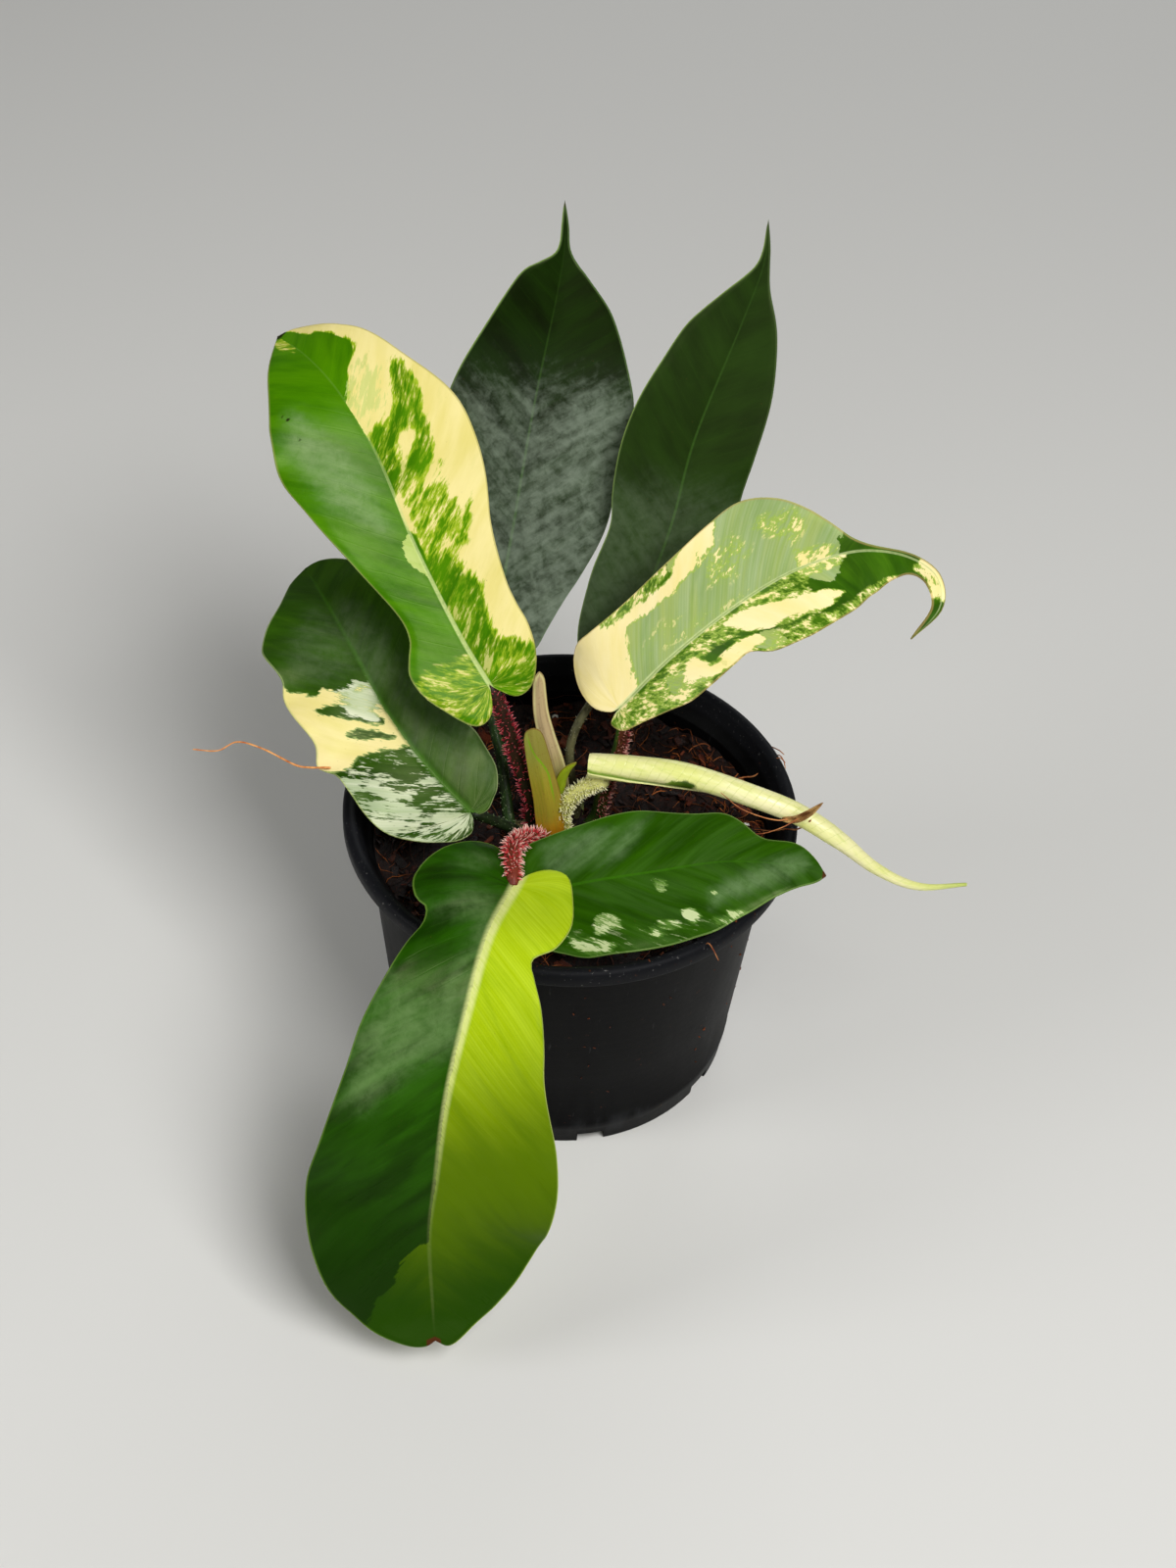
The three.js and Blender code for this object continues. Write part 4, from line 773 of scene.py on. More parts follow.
def leaf_skin(name, length, tone, rib_width, gloss, sheen_bands, stripes, shift, depth=0.2):
    """A waxy blade: green, pale and cream tissue broken up along the side veins, veins, rib and margin, with
    painted sheen.
    """
    f = Finish(name, Specular_IOR_Level=tone.get("shine", 0.24), Specular_Tint=(0.92, 1, 0.5, 1))
    leaf, vein = f.map("leaf"), f.map("vein")
    cream_field, pale_field, bloom_and_sheen_field, brown_field = f.fields()
    edge = f.value_of("edge")
    along, across = f.axes(leaf)[:2]
    count = f.axes(vein)[0]

    # Cream and pale tissue: each field is compared with streaky noise, so its edge breaks into flecks.
    gx, gy = tone.get("grain_shape", (1, 1))
    weights = tone.get("grain", (1.4, 1.5, 1.0))
    blotch = f.grained(vein, 2.7 * gx, 0.9 * gy, 4.0, 0.62, 0.2, shift=(shift, 3.1))
    fleck = f.grained(vein, 9.5 * gx, 1.9 * gy, 3.0, 0.62, shift=(7.7, shift))
    fine = f.grained(vein, 24.0 * gx, 4.6 * gy, 2.0, 0.55, shift=(1.3, shift))
    grain = f.held(f.sum(*zip((blotch, fleck, fine), weights), 0.5 - sum(weights) / 2), 0.2, 0.85)
    above = f.math("SUBTRACT", cream_field, grain)
    between = f.times(f.step(above, -0.42, -0.02), f.step(cream_field, 0.15, 0.35))
    soft = tone.get("soft", 1)
    cream = f.step(above, -0.04 * soft, 0.08 * soft)
    pale_blotch = f.grained(vein, 2.1, 0.7, 5.0, 0.6, 0.2, shift=(shift + 31, 9.0))
    pale_grain = f.held(f.sum((pale_blotch, 1.9), (fleck, -1.2), (fine, -0.5), 0.4), 0.2, 0.85)
    pale = f.step(f.math("SUBTRACT", pale_field, pale_grain), -0.08, 0.08)
    marbled = f.times(f.step(cream_field, 0.2, 0.4), f.step(cream_field, 0.95, 0.7))

    # Side veins, and the noises that follow them
    cloud = f.grained(vein, 0.9, 0.3, 4.0, 0.55, shift=(0, shift))
    hair = f.grained(vein, 30.0, 0.8, 2.0, 0.5)
    streak = f.grained(vein, 1.0, 0.34, 4.0, 0.55, 0.6, shift=(shift, 0))
    wander = f.sum((count, 1 / VEIN_SPACING), (f.grained(vein, 0.5, 0.4, 2.0), 0.5))
    lane = f.saw(wander)
    line = f.times(f.step(lane, 0.9, 0.99), f.step(edge, 0.05, 0.5))
    trough = f.step(lane, 0.0, 0.9)
    share = f.math("DIVIDE", along, length / 10, clamp=True)

    # Colours of the green, pale and cream tissue
    green = f.mix(f.step(cloud, 0.32, 0.68), tone["dark"], tone["green"])
    # Lighter streaks along the side veins, in the light tone: painted sheen bands.
    lit = f.times(f.step(streak, 0.42, 0.66), sheen_bands)
    green = f.mix(f.math("MAXIMUM", lit, f.times(marbled, 0.45)), green, tone["light"])
    green = f.tinted(green, tone["light"], line, 0.1)
    green = f.tinted(green, tone["dark"], f.step(hair, 0.4, 0.7), 0.15)
    drawn_out = f.grained(vein, 5.5, 0.16, 4.0, 0.6, shift=(shift, 5.0))
    shaded = f.step(f.sum((drawn_out, 0.6), (cloud, 0.4)), 0.32, 0.68)
    paler = f.mix(shaded, tone["pale"], tone["pale_light"])
    if "cast" in tone:
        cast = f.grained(vein, 0.8, 0.13, 4.0, 0.6, shift=(shift, 8.0))
        paler = f.tinted(paler, tone["cast"], f.step(cast, 0.42, 0.66), 0.6)
    striae = f.step(f.saw(f.sum((count, 8.5), (drawn_out, 1.2))), 0.4, 0.9)
    paler = f.tinted(paler, tone["pale_dark"], striae, 0.2 * stripes)
    paler = f.tinted(paler, tone["pale_dark"], f.step(streak, 0.48, 0.68), tone.get("patchy", 0.3))
    # Towards the tip the pale and the green half darken: partly the leaf's own colour, partly painted shade
    # on the drooping tip.
    if "pale_end" in tone:
        onward = f.sum(share, (f.absolute(across), 0.03), (streak, 0.14), -0.07)
        paler = f.mix(f.step(onward, 0.2, 0.68), paler, tone["pale_middle"])
        paler = f.mix(f.step(onward, 0.67, 0.97), paler, tone["pale_end"])
        green = f.mix(f.step(share, 0.4, 0.95), green, tone["dark"])
    creamy = f.mix(f.step(cloud, 0.3, 0.75), tone["cream"], tone["cream_dark"])
    creamy = f.tinted(creamy, tone["cream_dark"], f.step(hair, 0.5, 0.75), 0.2)
    if "tint" in tone:
        creamy = f.tinted(creamy, paler, pale, tone["tint"])
    colour = f.mix(pale, green, paler)
    colour = f.tinted(colour, tone["fleck"], between, 0.85)
    colour = f.mix(cream, colour, creamy)

    # Rib and margin
    at_foot, at_tip = (width / 20 for width in rib_width)
    half_rib = f.sum((share, at_tip - at_foot), at_foot)
    aside = tone.get("rib_shift", 0)
    off_rib = f.math("DIVIDE", f.absolute(f.sum(across, (share, aside), -aside)), half_rib)
    fade = f.step(share, *tone.get("rib_fade", (0.25, 0.9)), 0.85, tone.get("rib_end", 0.3))
    on_rib = f.times(f.step(off_rib, *tone.get("rib_edge", (1.3, 0.6))), f.step(share, 0.995, 0.9))
    on_rib = f.times(f.times(on_rib, fade), f.step(fleck, 0.35, 0.6, 0.7, 1.0))
    colour = f.mix(on_rib, colour, tone["rib"])
    if "rib_line" in tone:
        colour = f.tinted(colour, tone["rib_line"], f.times(on_rib, f.step(off_rib, 0.5, 0.1)), 0.7)
    colour = f.tinted(colour, tone["margin"], f.step(edge, 0.05, 0.015), 0.5)

    # Waxy bloom with painted sheen, specks and dead spots
    mottle = f.noise(leaf, 2.6, 6.0, 0.68, 0.4)
    veil = f.sum((f.grained(vein, 1.8, 0.5, 5.0, 0.62, shift=(4, shift)), 0.5), (mottle, 0.5))
    # Painted sheen: the bloom field turns the colour whitish in patches, standing for highlights on the wax
    # as well as the bloom itself.
    bloom_and_sheen_patches = f.step(f.sum(veil, (bloom_and_sheen_field, 0.35)), *tone.get("veil", (0.48, 1.0)), 0.06, 1.0)
    bloom_and_sheen_haze = f.times(bloom_and_sheen_field, bloom_and_sheen_patches)
    colour = f.tinted(colour, tone["bloom_and_sheen_tone"], bloom_and_sheen_haze, tone.get("bloom_and_sheen_haze", 0.62))
    speck = f.math("GREATER_THAN", f.grained(leaf, 16, 16, 1.0), 0.785)
    colour = f.tinted(colour, "#5a3a1c", speck, 0.6)
    dead = f.step(f.sum(brown_field, (fleck, 0.5), -0.45), 0.2, 0.5)
    colour = f.mix(dead, colour, tone.get("scar", "#4a2410"))

    rough = f.sum((cloud, 0.12), (fleck, 0.1), gloss - 0.11, (bloom_and_sheen_haze, 0.12), (dead, 0.3))
    swell = f.noise(leaf, 0.75, 3.0, 0.5)
    relief = f.sum((trough, 0.16), (line, -0.12), (hair, 0.12), (streak, 0.2), (swell, 2.2), (mottle, 0.28),
        (f.noise(leaf, 22.0, 2.0), 0.03))
    return f.done(colour, rough, f.bump(relief, depth, 0.7))


# Tones of each leaf, above and below
GREEN = dict(dark="#1d4a04", green="#2f6404", light="#568512", pale="#a9bd7a", pale_light="#c0cc92",
    pale_dark="#86a45c", cream="#f3e4a8", cream_dark="#e2d480", fleck="#9db44a", rib="#8fae4e",
    margin="#8a9a50", bloom_and_sheen_tone="#93a284")
TONES = {
    "leaf_1": dict(GREEN, dark="#306400", green="#437c00", light="#609802", pale="#a9c05c",
        pale_light="#bccc78", pale_dark="#8cac40", rib="#c0d084", margin="#98924e", cream="#ecde98",
        cream_dark="#ded078", fleck="#a6bc28", bloom_and_sheen_tone="#93aa78", rib_end=0.05, rib_fade=(0.2, 0.75),
        soft=2.3, grain=(2.0, 1.4, 0.5), grain_shape=(0.8, 1.15), tint=0.55, scar="#1e2406", shine=0.12),
    "leaf_2": dict(GREEN, dark="#071301", green="#0e2202", light="#224404", rib="#35581a", bloom_and_sheen_tone="#84917f",
        margin="#5f7a44", rib_end=0.1, bloom_and_sheen_haze=0.8, veil=(0.62, 1.0), shine=0.12),
    "leaf_3": dict(GREEN, dark="#142606", green="#1c3408", light="#28440e", rib="#32541a", bloom_and_sheen_tone="#5e6e54",
        margin="#4f6438", shine=0.18),
    "leaf_4": dict(GREEN, dark="#204600", green="#336200", light="#578610", pale="#8ca65c",
        pale_light="#a8ba88", pale_dark="#76944e", rib="#c9d498", margin="#b0905c", cream="#fcecb4",
        cream_dark="#f4e294", fleck="#9cb844", cast="#acb850", patchy=0.35, rib_end=0.5, rib_line="#6c8c34",
        soft=1.8, grain=(2.0, 1.3, 0.5), grain_shape=(0.62, 2.6)),
    "leaf_5": dict(GREEN, dark="#1e3c04", green="#2c5008", light="#41680e", pale="#c0c8a0",
        pale_light="#dfe2c6", pale_dark="#86a070", cream="#f2e2a0", cream_dark="#e4d680", rib="#3c6a18",
        bloom_and_sheen_tone="#6e7c60", margin="#a8b47c", fleck="#93a860", cast="#94ac7c", rib_edge=(2.4, 0.2),
        rib_end=0.5, shine=0.17),
    "leaf_6": dict(GREEN, dark="#1a3e00", green="#2b5800", light="#48702c", pale="#84a05c",
        pale_light="#9cb470", pale_dark="#6c8c44", cream="#ccd8a4", cream_dark="#b4c484", fleck="#5c8430",
        rib="#34680a", bloom_and_sheen_tone="#7c9a68", margin="#7c9850", grain=(2.0, 1.3, 0.5), grain_shape=(0.9, 1.8),
        shine=0.17),
    "leaf_7": dict(GREEN, dark="#0e2c00", green="#1f4c00", light="#2e6606", pale="#a8c204",
        pale_light="#bcd428", pale_dark="#7ea400", pale_middle="#506c00", pale_end="#1e4000", patchy=0.28,
        rib="#e0e494", margin="#6c8c34", bloom_and_sheen_tone="#7c9a60", bloom_and_sheen_haze=0.58, rib_end=0.05, rib_fade=(0.2, 0.8),
        rib_edge=(1.35, 0.3), rib_shift=-0.1, shine=0.11),
}
UNDER = dict(dark="#3f6420", green="#507828", light="#6c9440", pale="#b6c27c", pale_light="#c4cc90",
    pale_dark="#a0b068", cream="#efe098", cream_dark="#e2cf78", fleck="#a8b868", rib="#9cb468",
    margin="#8c9c54", bloom_and_sheen_tone="#9cac90", bloom_and_sheen_haze=0.2)
UNDER_TONES = {
    "leaf_4": dict(pale="#c8bc6c", pale_light="#d4c87c", green="#748430", dark="#647828", cream="#b49a48",
        cream_dark="#8a7428"),
    "leaf_7": dict(pale="#b3bf45", pale_light="#c3cc60", pale_dark="#9fae35"),
}
UNDER_RIB = (1.6, 0.6)  # width of the rib at its foot and tip, in mm
RIBS = {"leaf_1": (1.7, 0.35), "leaf_2": (1.3, 0.4), "leaf_3": (1.2, 0.4), "leaf_4": (1.7, 0.45),
    "leaf_5": (1.7, 0.6), "leaf_6": (1.2, 0.4), "leaf_7": (4.4, 0.9)}


def stalk_skin(name, base, top, speck, bristle_root, bristle_tip, flank=None, pale_from=0.35, shade=0.5):
    """A fleshy petiole. Zones: height on a bristle, chance or side, bristle or not, place along."""
    f = Finish(name, Specular_IOR_Level=0.3)
    height, chance, is_bristle, up = f.fields()
    place = f.place()
    fine = f.noise(place, 900.0, 3.0, 0.6)
    broad = f.noise(f.drawn(place, 1, 1, 0.35), 260.0, 4.0, 0.6)
    core = f.mix(f.step(f.sum(up, (broad, 0.7), -0.35), 0.1, 0.9), base, top)
    if flank:
        core = f.mix(f.step(f.sum(chance, (broad, 0.2)), 0.42, 0.28), core, flank)
    core = f.tinted(core, speck, f.step(fine, 0.6, 0.67), 0.6)
    core = f.tinted(core, "#120e06", f.step(broad, 0.6, 0.4), shade)
    paler = f.step(f.sum(height, (chance, 0.4), -0.2), pale_from, pale_from + 0.7)
    colour = f.mix(is_bristle, core, f.mix(paler, bristle_root, bristle_tip))
    return f.done(colour, f.sum((fine, 0.2), 0.4), f.bump(f.sum(broad, (fine, 0.4)), 0.25, 0.8))


def sheath_skin(name, base, middle, top, line, shift=0.0, slit=None, rims=None):
    """A papery sheath that ages from its foot, with fine fibres and perhaps a slit or pale rims."""
    f = Finish(name, Specular_IOR_Level=0.3)
    leaf = f.map("leaf")
    along, across = f.axes(leaf)[:2]
    fibre = f.grained(leaf, 0.5, 14.0, 3.0, 0.55, shift=(shift, shift))
    cloud = f.grained(leaf, 1.4, 3.0, 4.0, 0.6, shift=(shift, 0))
    rise = f.sum(along, (cloud, 0.9), -0.45)
    colour = f.mix(f.step(rise, 0.1, 1.5), base, middle)
    colour = f.mix(f.step(rise, 2.2, 4.6), colour, top)
    colour = f.tinted(colour, line, f.step(fibre, 0.48, 0.7), 0.5)
    edge = f.value_of("edge")
    if slit:
        path = f.sum(across, (f.step(along, 4.6, 2.9, 0.19, -0.26), 1.0))
        beyond = f.times(f.step(path, 0.0, 0.03), f.step(along, 1.4, 2.4))
        colour = f.tinted(colour, slit[0], beyond, 0.45)
        groove = f.times(f.step(f.absolute(path), 0.05, 0.02), f.step(along, 1.6, 2.4))
        groove = f.times(groove, f.step(along, 4.75, 4.5))
        colour = f.mix(groove, colour, slit[1])
    if rims:
        colour = f.tinted(colour, rims, f.step(edge, 0.13, 0.06), 0.8)
    colour = f.tinted(colour, "#7a4a22", f.step(edge, 0.035, 0.01), 0.6)
    spots = f.step(f.noise(leaf, 9.0, 3.0, 0.6), 0.6, 0.68)
    colour = f.tinted(colour, "#7c4a1e", spots, 0.35)
    relief = f.sum(fibre, (cloud, 0.4))
    return f.done(colour, f.sum((cloud, 0.2), 0.36), f.bump(relief, 0.2, 0.9))


def rolled_skin():
    """The pale outside of the new leaf, with its seam, painted shade under the overlapping margin, and a torn
    notch at the lower end painted in as its shaded, dark green inside.
    """
    f = Finish("rolled_leaf_skin", Specular_IOR_Level=0.5)
    run = f.map("run")
    along, turn = f.axes(run)[:2]
    vein = f.grained(run, 1.3, 9.0, 3.0, 0.55)
    cloud = f.grained(run, 0.35, 1.2, 4.0, 0.6)
    slant = f.sum((along, 3.2), (turn, 1.6), (f.grained(run, 0.8, 0.8, 2.0), 1.0))
    side_vein = f.step(f.saw(slant), 0.86, 1.0)
    colour = f.mix(f.step(cloud, 0.3, 0.7), "#dfe284", "#f4eeb8")
    colour = f.tinted(colour, "#b8c850", f.step(vein, 0.5, 0.72), 0.35)
    colour = f.tinted(colour, "#a9bc3c", side_vein, 0.25)
    colour = f.mix(f.step(along, 11.5, 15.5), colour, "#a8bc40")
    # Painted shade, with a greener tint, under the overlapping free margin near the foot.
    under = f.times(f.step(f.sum(turn, (cloud, 0.16)), 1.9, 2.0), f.step(along, 4.6, 3.6))
    colour = f.tinted(colour, "#94ac40", under, 0.5)
    # The torn notch is only painted: the quill's inside shown through it as dark green, in painted shade.
    torn = f.noise(run, 4.0, 3.0, 0.6)
    margin = f.step(f.sum(along, (torn, 0.4), -0.2), 2.3, 3.5, 1.92, 1.52)
    beyond = f.step(f.sum(turn, (margin, -1.0), (torn, 0.12)), 0.02, 0.1)
    notch = f.times(beyond, f.step(f.sum(along, (torn, 0.4)), 4.0, 3.85))
    colour = f.mix(notch, colour, f.mix(f.step(along, 2.6, 3.5), "#7c9c30", "#38520c"))
    seam = f.step(f.absolute(f.sum(turn, -1.0)), 0.975, 1.0)
    colour = f.tinted(colour, "#6c8c20", seam, 0.5)
    speck = f.step(f.noise(run, 7.0, 2.0), 0.7, 0.76)
    colour = f.tinted(colour, "#9ab14a", speck, 0.35)
    relief = f.sum(vein, (cloud, 0.5), (side_vein, -0.4))
    return f.done(colour, f.sum((cloud, 0.14), 0.24), f.bump(relief, 0.18, 0.8))


def bark_skin():
    """Cracked, corky brown bark."""
    f = Finish("stem_bark_skin", Specular_IOR_Level=0.3)
    place = f.place()
    broad = f.noise(place, 140.0, 5.0, 0.6)
    fine = f.noise(place, 900.0, 4.0, 0.65)
    cracks = f.step(f.cells(f.drawn(place, 1, 1.6, 1.6), 320.0, "DISTANCE_TO_EDGE"), 0.0, 0.12)
    colour = f.mix(f.step(broad, 0.35, 0.65), "#5c5a2a", "#7d6a3c")
    colour = f.mix(f.step(fine, 0.5, 0.7), colour, "#9a8456")
    colour = f.mix(f.math("SUBTRACT", 1.0, cracks), colour, "#3a2a16")
    return f.done(colour, f.sum((fine, 0.2), 0.6), f.bump(f.sum(cracks, (fine, 0.5)), 0.5, 0.9))


def husk_skin():
    """Wet coco husk, red-brown. Zones: a tint by chance, fibre or chip, and wetness by chance."""
    f = Finish("husk_mix_skin", Specular_IOR_Level=0.25)
    tint, fibre, wet, _ = f.fields()
    place = f.place()
    broad = f.noise(place, 60.0, 4.0, 0.6)
    fine = f.noise(place, 700.0, 5.0, 0.7)
    grain = f.noise(f.drawn(place, 1, 0.3, 1), 1600.0, 3.0, 0.6)
    colour = f.mix(f.step(f.sum(tint, (fine, 0.6), -0.3), 0.15, 0.9), "#0f0502", "#5a240e")
    colour = f.tinted(colour, "#8c4a20", f.step(tint, 0.86, 1.0), 0.5)
    colour = f.tinted(colour, "#a85c24", fibre, f.step(tint, 0.25, 1.0))
    colour = f.tinted(colour, "#080302", f.step(broad, 0.58, 0.42), 0.7)
    colour = f.tinted(colour, "#6a2c10", f.step(grain, 0.58, 0.7), 0.25)
    rough = f.sum((fine, 0.35), (wet, -0.25), 0.55)
    return f.done(colour, rough, f.bump(f.sum(fine, (grain, 0.6)), 0.6, 0.9))


def perlite_skin():
    """White, pitted perlite with husk dust on it."""
    f = Finish("perlite_skin", Specular_IOR_Level=0.3)
    place = f.place()
    pits = f.cells(place, 1500.0)
    fine = f.noise(place, 1800.0, 4.0, 0.6)
    colour = f.mix(f.step(pits, 0.1, 0.5), "#b9b2a4", "#f2efe8")
    colour = f.tinted(colour, "#a08f78", f.step(fine, 0.55, 0.75), 0.5)
    return f.done(colour, f.sum((fine, 0.2), 0.75), f.bump(f.sum(pits, (fine, 0.4)), 0.5, 1.0))


def pot_skin():
    """Black nursery plastic: satin, its rim lighter from dust and painted sheen, scuffed near the foot, with
    faint mould marks.
    """
    f = Finish("pot_plastic_skin", Specular_IOR_Level=0.07)
    place = f.place()
    z = f.axes(place)[2]
    dust = f.noise(place, 900.0, 4.0, 0.7)
    smear = f.noise(f.drawn(place, 1, 1, 0.25), 90.0, 5.0, 0.65)
    scratch = f.noise(f.drawn(place, 9, 9, 0.6, shift=(0.2, 0, 0)), 120.0, 3.0, 0.6)
    on_rim = f.step(z, 0.1065, 0.1085)
    foot = f.times(f.step(z, 0.003, 0.006), f.step(z, 0.017, 0.011))
    colour = f.mix(f.step(smear, 0.35, 0.75), "#020203", "#060707")
    # A lighter grey rim: dust, and painted sheen along its top.
    colour = f.tinted(colour, "#1b1c20", on_rim, 0.5)
    specks = f.times(f.step(dust, 0.63, 0.72), f.sum((on_rim, 0.8), 0.08))
    colour = f.mix(specks, colour, "#6b6a68")
    scuff = f.times(f.step(smear, 0.45, 0.7), f.sum((foot, 0.35), 0.03))
    colour = f.mix(scuff, colour, "#3c3d40")
    line = f.times(f.step(scratch, 0.68, 0.74), 0.25)
    colour = f.mix(line, colour, "#4a4a4c")
    grime = f.times(f.step(f.noise(place, 260.0, 4.0, 0.7), 0.66, 0.74), 0.7)
    colour = f.mix(grime, colour, "#4a2a18")
    rough = f.sum((smear, 0.22), (dust, 0.12), (on_rim, 0.02), 0.32)
    ribs = f.math("SINE", f.times(z, 1500.0))
    relief = f.sum((dust, 0.35), (smear, 0.3), (ribs, 0.03))
    return f.done(colour, rough, f.bump(relief, 0.12, 0.8))


def dry_skin(name, dark, light):
    """A dry root, fibre or flake in two shades."""
    f = Finish(name, Specular_IOR_Level=0.3)
    place = f.place()
    broad = f.noise(place, 220.0, 4.0, 0.6)
    fine = f.noise(f.drawn(place, 1, 0.4, 1), 1400.0, 4.0, 0.65)
    colour = f.mix(f.step(broad, 0.35, 0.68), dark, light)
    colour = f.tinted(colour, dark, f.step(fine, 0.52, 0.7), 0.6)
    return f.done(colour, f.sum((fine, 0.2), 0.6), f.bump(f.sum(broad, fine), 0.3, 0.9))


# Blades
BLADE_COLUMNS = np.array([0, .018, .04, .07, .11, .16, .22, .29, .36, .43, .5, .57, .64, .71, .78, .84, .89,
    .93, .96, .985, 1])
BLADE_ROWS = dict(lobe=20, main=92, tip=8)
RIM_BULGE = 0.7  # how far the rounded margin stands out, as a share of half the thickness
PATTERN_SHIFT = 1.7  # from one leaf's noise to the next


def keel_share(u):
    """How much of the keel stands at a share of the rib: it rises at once and dies out at the tip."""
    return np.minimum(1, np.maximum(0, u) / 0.05) * np.maximum(0, 1 - u) ** 0.8


def blade(name, spec, left, right, markings, rows=BLADE_ROWS, columns=BLADE_COLUMNS, keel=KEEL,
        quilt=0.035, groove=0.3, droop=0.3):
    """A closed blade: upper face, rounded margin and underside in one grid that wraps round the edge."""
    surface = Surface(**spec)
    length = surface.length
    sides = {}
    for sign, outline in ((-1, left), (1, right)):
        r, x, w, v = edge_stations(outline, sign, length, **rows)
        q = columns[None, :]
        sides[sign] = (r[:, None] * (1 - q) + x[:, None] * q, w[:, None] * q,
            np.repeat(r[:, None], len(columns), 1), np.repeat(v[:, None], len(columns), 1),
            np.repeat(q, len(r), 0))
    x, w, r, v, q = (np.concatenate([sides[-1][k][:, :0:-1], sides[1][k]], 1) for k in range(5))
    side = np.concatenate([-np.ones_like(sides[-1][0][:, :0:-1]), np.ones_like(sides[1][0])], 1)
    rib_column = len(columns) - 1
    side[:, rib_column] = 0
    out = np.hypot(x - r, w) / 10
    edge = (1 - q) * np.hypot(x - r, w) / np.maximum(q, 0.02) / 10
    edge = np.where(q == 0, 3.0, edge)
    fields = painted(markings, x, w, side)
    v = v - LEAF_SWEEP.get(markings, SWEEP) * out

    # Quilting between the side veins, a groove over the rib and a keel below it
    lane = np.abs(np.mod(v / VEIN_SPACING, 1) * 2 - 1)
    body = smooth(out, 0.1, 0.9) * (1 - smooth(q, 0.75, 1))
    relief = quilt * (1 - lane) * 1.4 * body - droop * smooth(q, 0.86, 1) * (q > 0) - quilt * body
    share = keel_share(x / length)
    dent = groove * np.exp(-(w / 1.5) ** 2) * np.minimum(1, share * 1.5) * smooth(x, -1, 3)
    ridge = keel * share * np.exp(-(w / 1.25) ** 2)

    middle, up = surface.at(x, w), surface.normal(x, w)
    top = middle + up * (BLADE_HALF + relief - dent)[..., None]
    low = middle + up * (relief - BLADE_HALF - ridge)[..., None]
    rim = middle + up * relief[..., None]
    outward = unit(rim - (middle[:, [rib_column]] + 1e-9))

    def margin(k):
        step = outward[:, [k]] * BLADE_HALF * RIM_BULGE
        step[0], step[-1] = 0, 0
        return rim[:, [k]] + step

    def wrapped(values):
        """The values of the upper face, right margin, underside and left margin, and back to the start."""
        return np.concatenate([values, values[:, -1:], values[:, ::-1], values[:, :1], values[:, :1]], 1)

    points = np.concatenate([top, margin(x.shape[1] - 1), low[:, ::-1], margin(0), top[:, :1]], 1)
    leaf_map = wrapped(np.stack([x, w], -1) / 10)
    vein_map = wrapped(np.stack([v, out * np.where(side == 0, 1, side)], -1))
    piece = laid_grid(name, points, (("leaf", leaf_map), ("vein", vein_map)), wrapped(fields), wrapped(edge))
    around, upper = points.shape[1] - 1, x.shape[1]
    for i, face in enumerate(piece.data.polygons):
        face.material_index = 0 if i % around < upper else 1
    return tidy(piece)


SHEATH_COLUMNS = np.array([0, .12, .25, .4, .55, .7, .82, .92, 1])


def sheath(name, spec):
    """A narrow smooth blade with the same outline on both sides."""
    surface = {k: v for k, v in spec.items() if k != "half"}
    return blade(name, surface, spec["half"], spec["half"], "", dict(lobe=3, main=36, tip=3), SHEATH_COLUMNS,
        keel=0, quilt=0, groove=0, droop=0)


# Stalks and bristles
def tube(name, spine, radius, steps, sides):
    """A closed tube; radius(u, turn) in mm. Its map runs (cm along, half turns)."""
    u = np.concatenate([[0, 0], np.linspace(0, 1, steps + 1)[1:-1], [1, 1]])
    _, a, b = spine.frames(u)
    turn = np.linspace(0, 2 * np.pi, sides + 1)
    size = np.array([[radius(s, w) for w in turn] for s in u])
    size[[0, -1]] = 0
    size[[1, -2]] *= 0.8
    across = a[:, None] * np.cos(turn)[None, :, None] + b[:, None] * np.sin(turn)[None, :, None]
    points = spine.at(u)[:, None] + across * size[..., None]
    run = np.stack(np.broadcast_arrays((u * spine.length / 10)[:, None], (turn / np.pi)[None, :]), -1)
    zones = np.zeros(points.shape[:2] + (4,))
    zones[..., 1] = 0.5 + 0.5 * across[..., 0] / np.maximum(np.linalg.norm(across, axis=-1), 1e-6)
    zones[..., 3] = u[:, None]
    return laid_grid(name, points, (("run", run),), zones)


def bristle_shape():
    """One soft bristle, 1 mm high: a four-sided spike that bends as it narrows."""
    rest()
    bpy.ops.mesh.primitive_circle_add(vertices=4, radius=MM, fill_type="NGON")
    piece = named("bristle")
    begin_edit()
    for rise, shift, scale in ((0.4, 0.05, 0.85), (0.35, 0.12, 0.6), (0.25, 0.16, 0.12)):
        bpy.ops.mesh.extrude_region_move(TRANSFORM_OT_translate={"value": (shift * MM, 0, rise * MM)})
        bpy.ops.transform.resize(value=(scale, scale, 1))
    end_edit()
    return model_of(piece)


BRISTLE = bristle_shape()
BRISTLE_ROOT = 0.45  # mm that a bristle starts below the skin


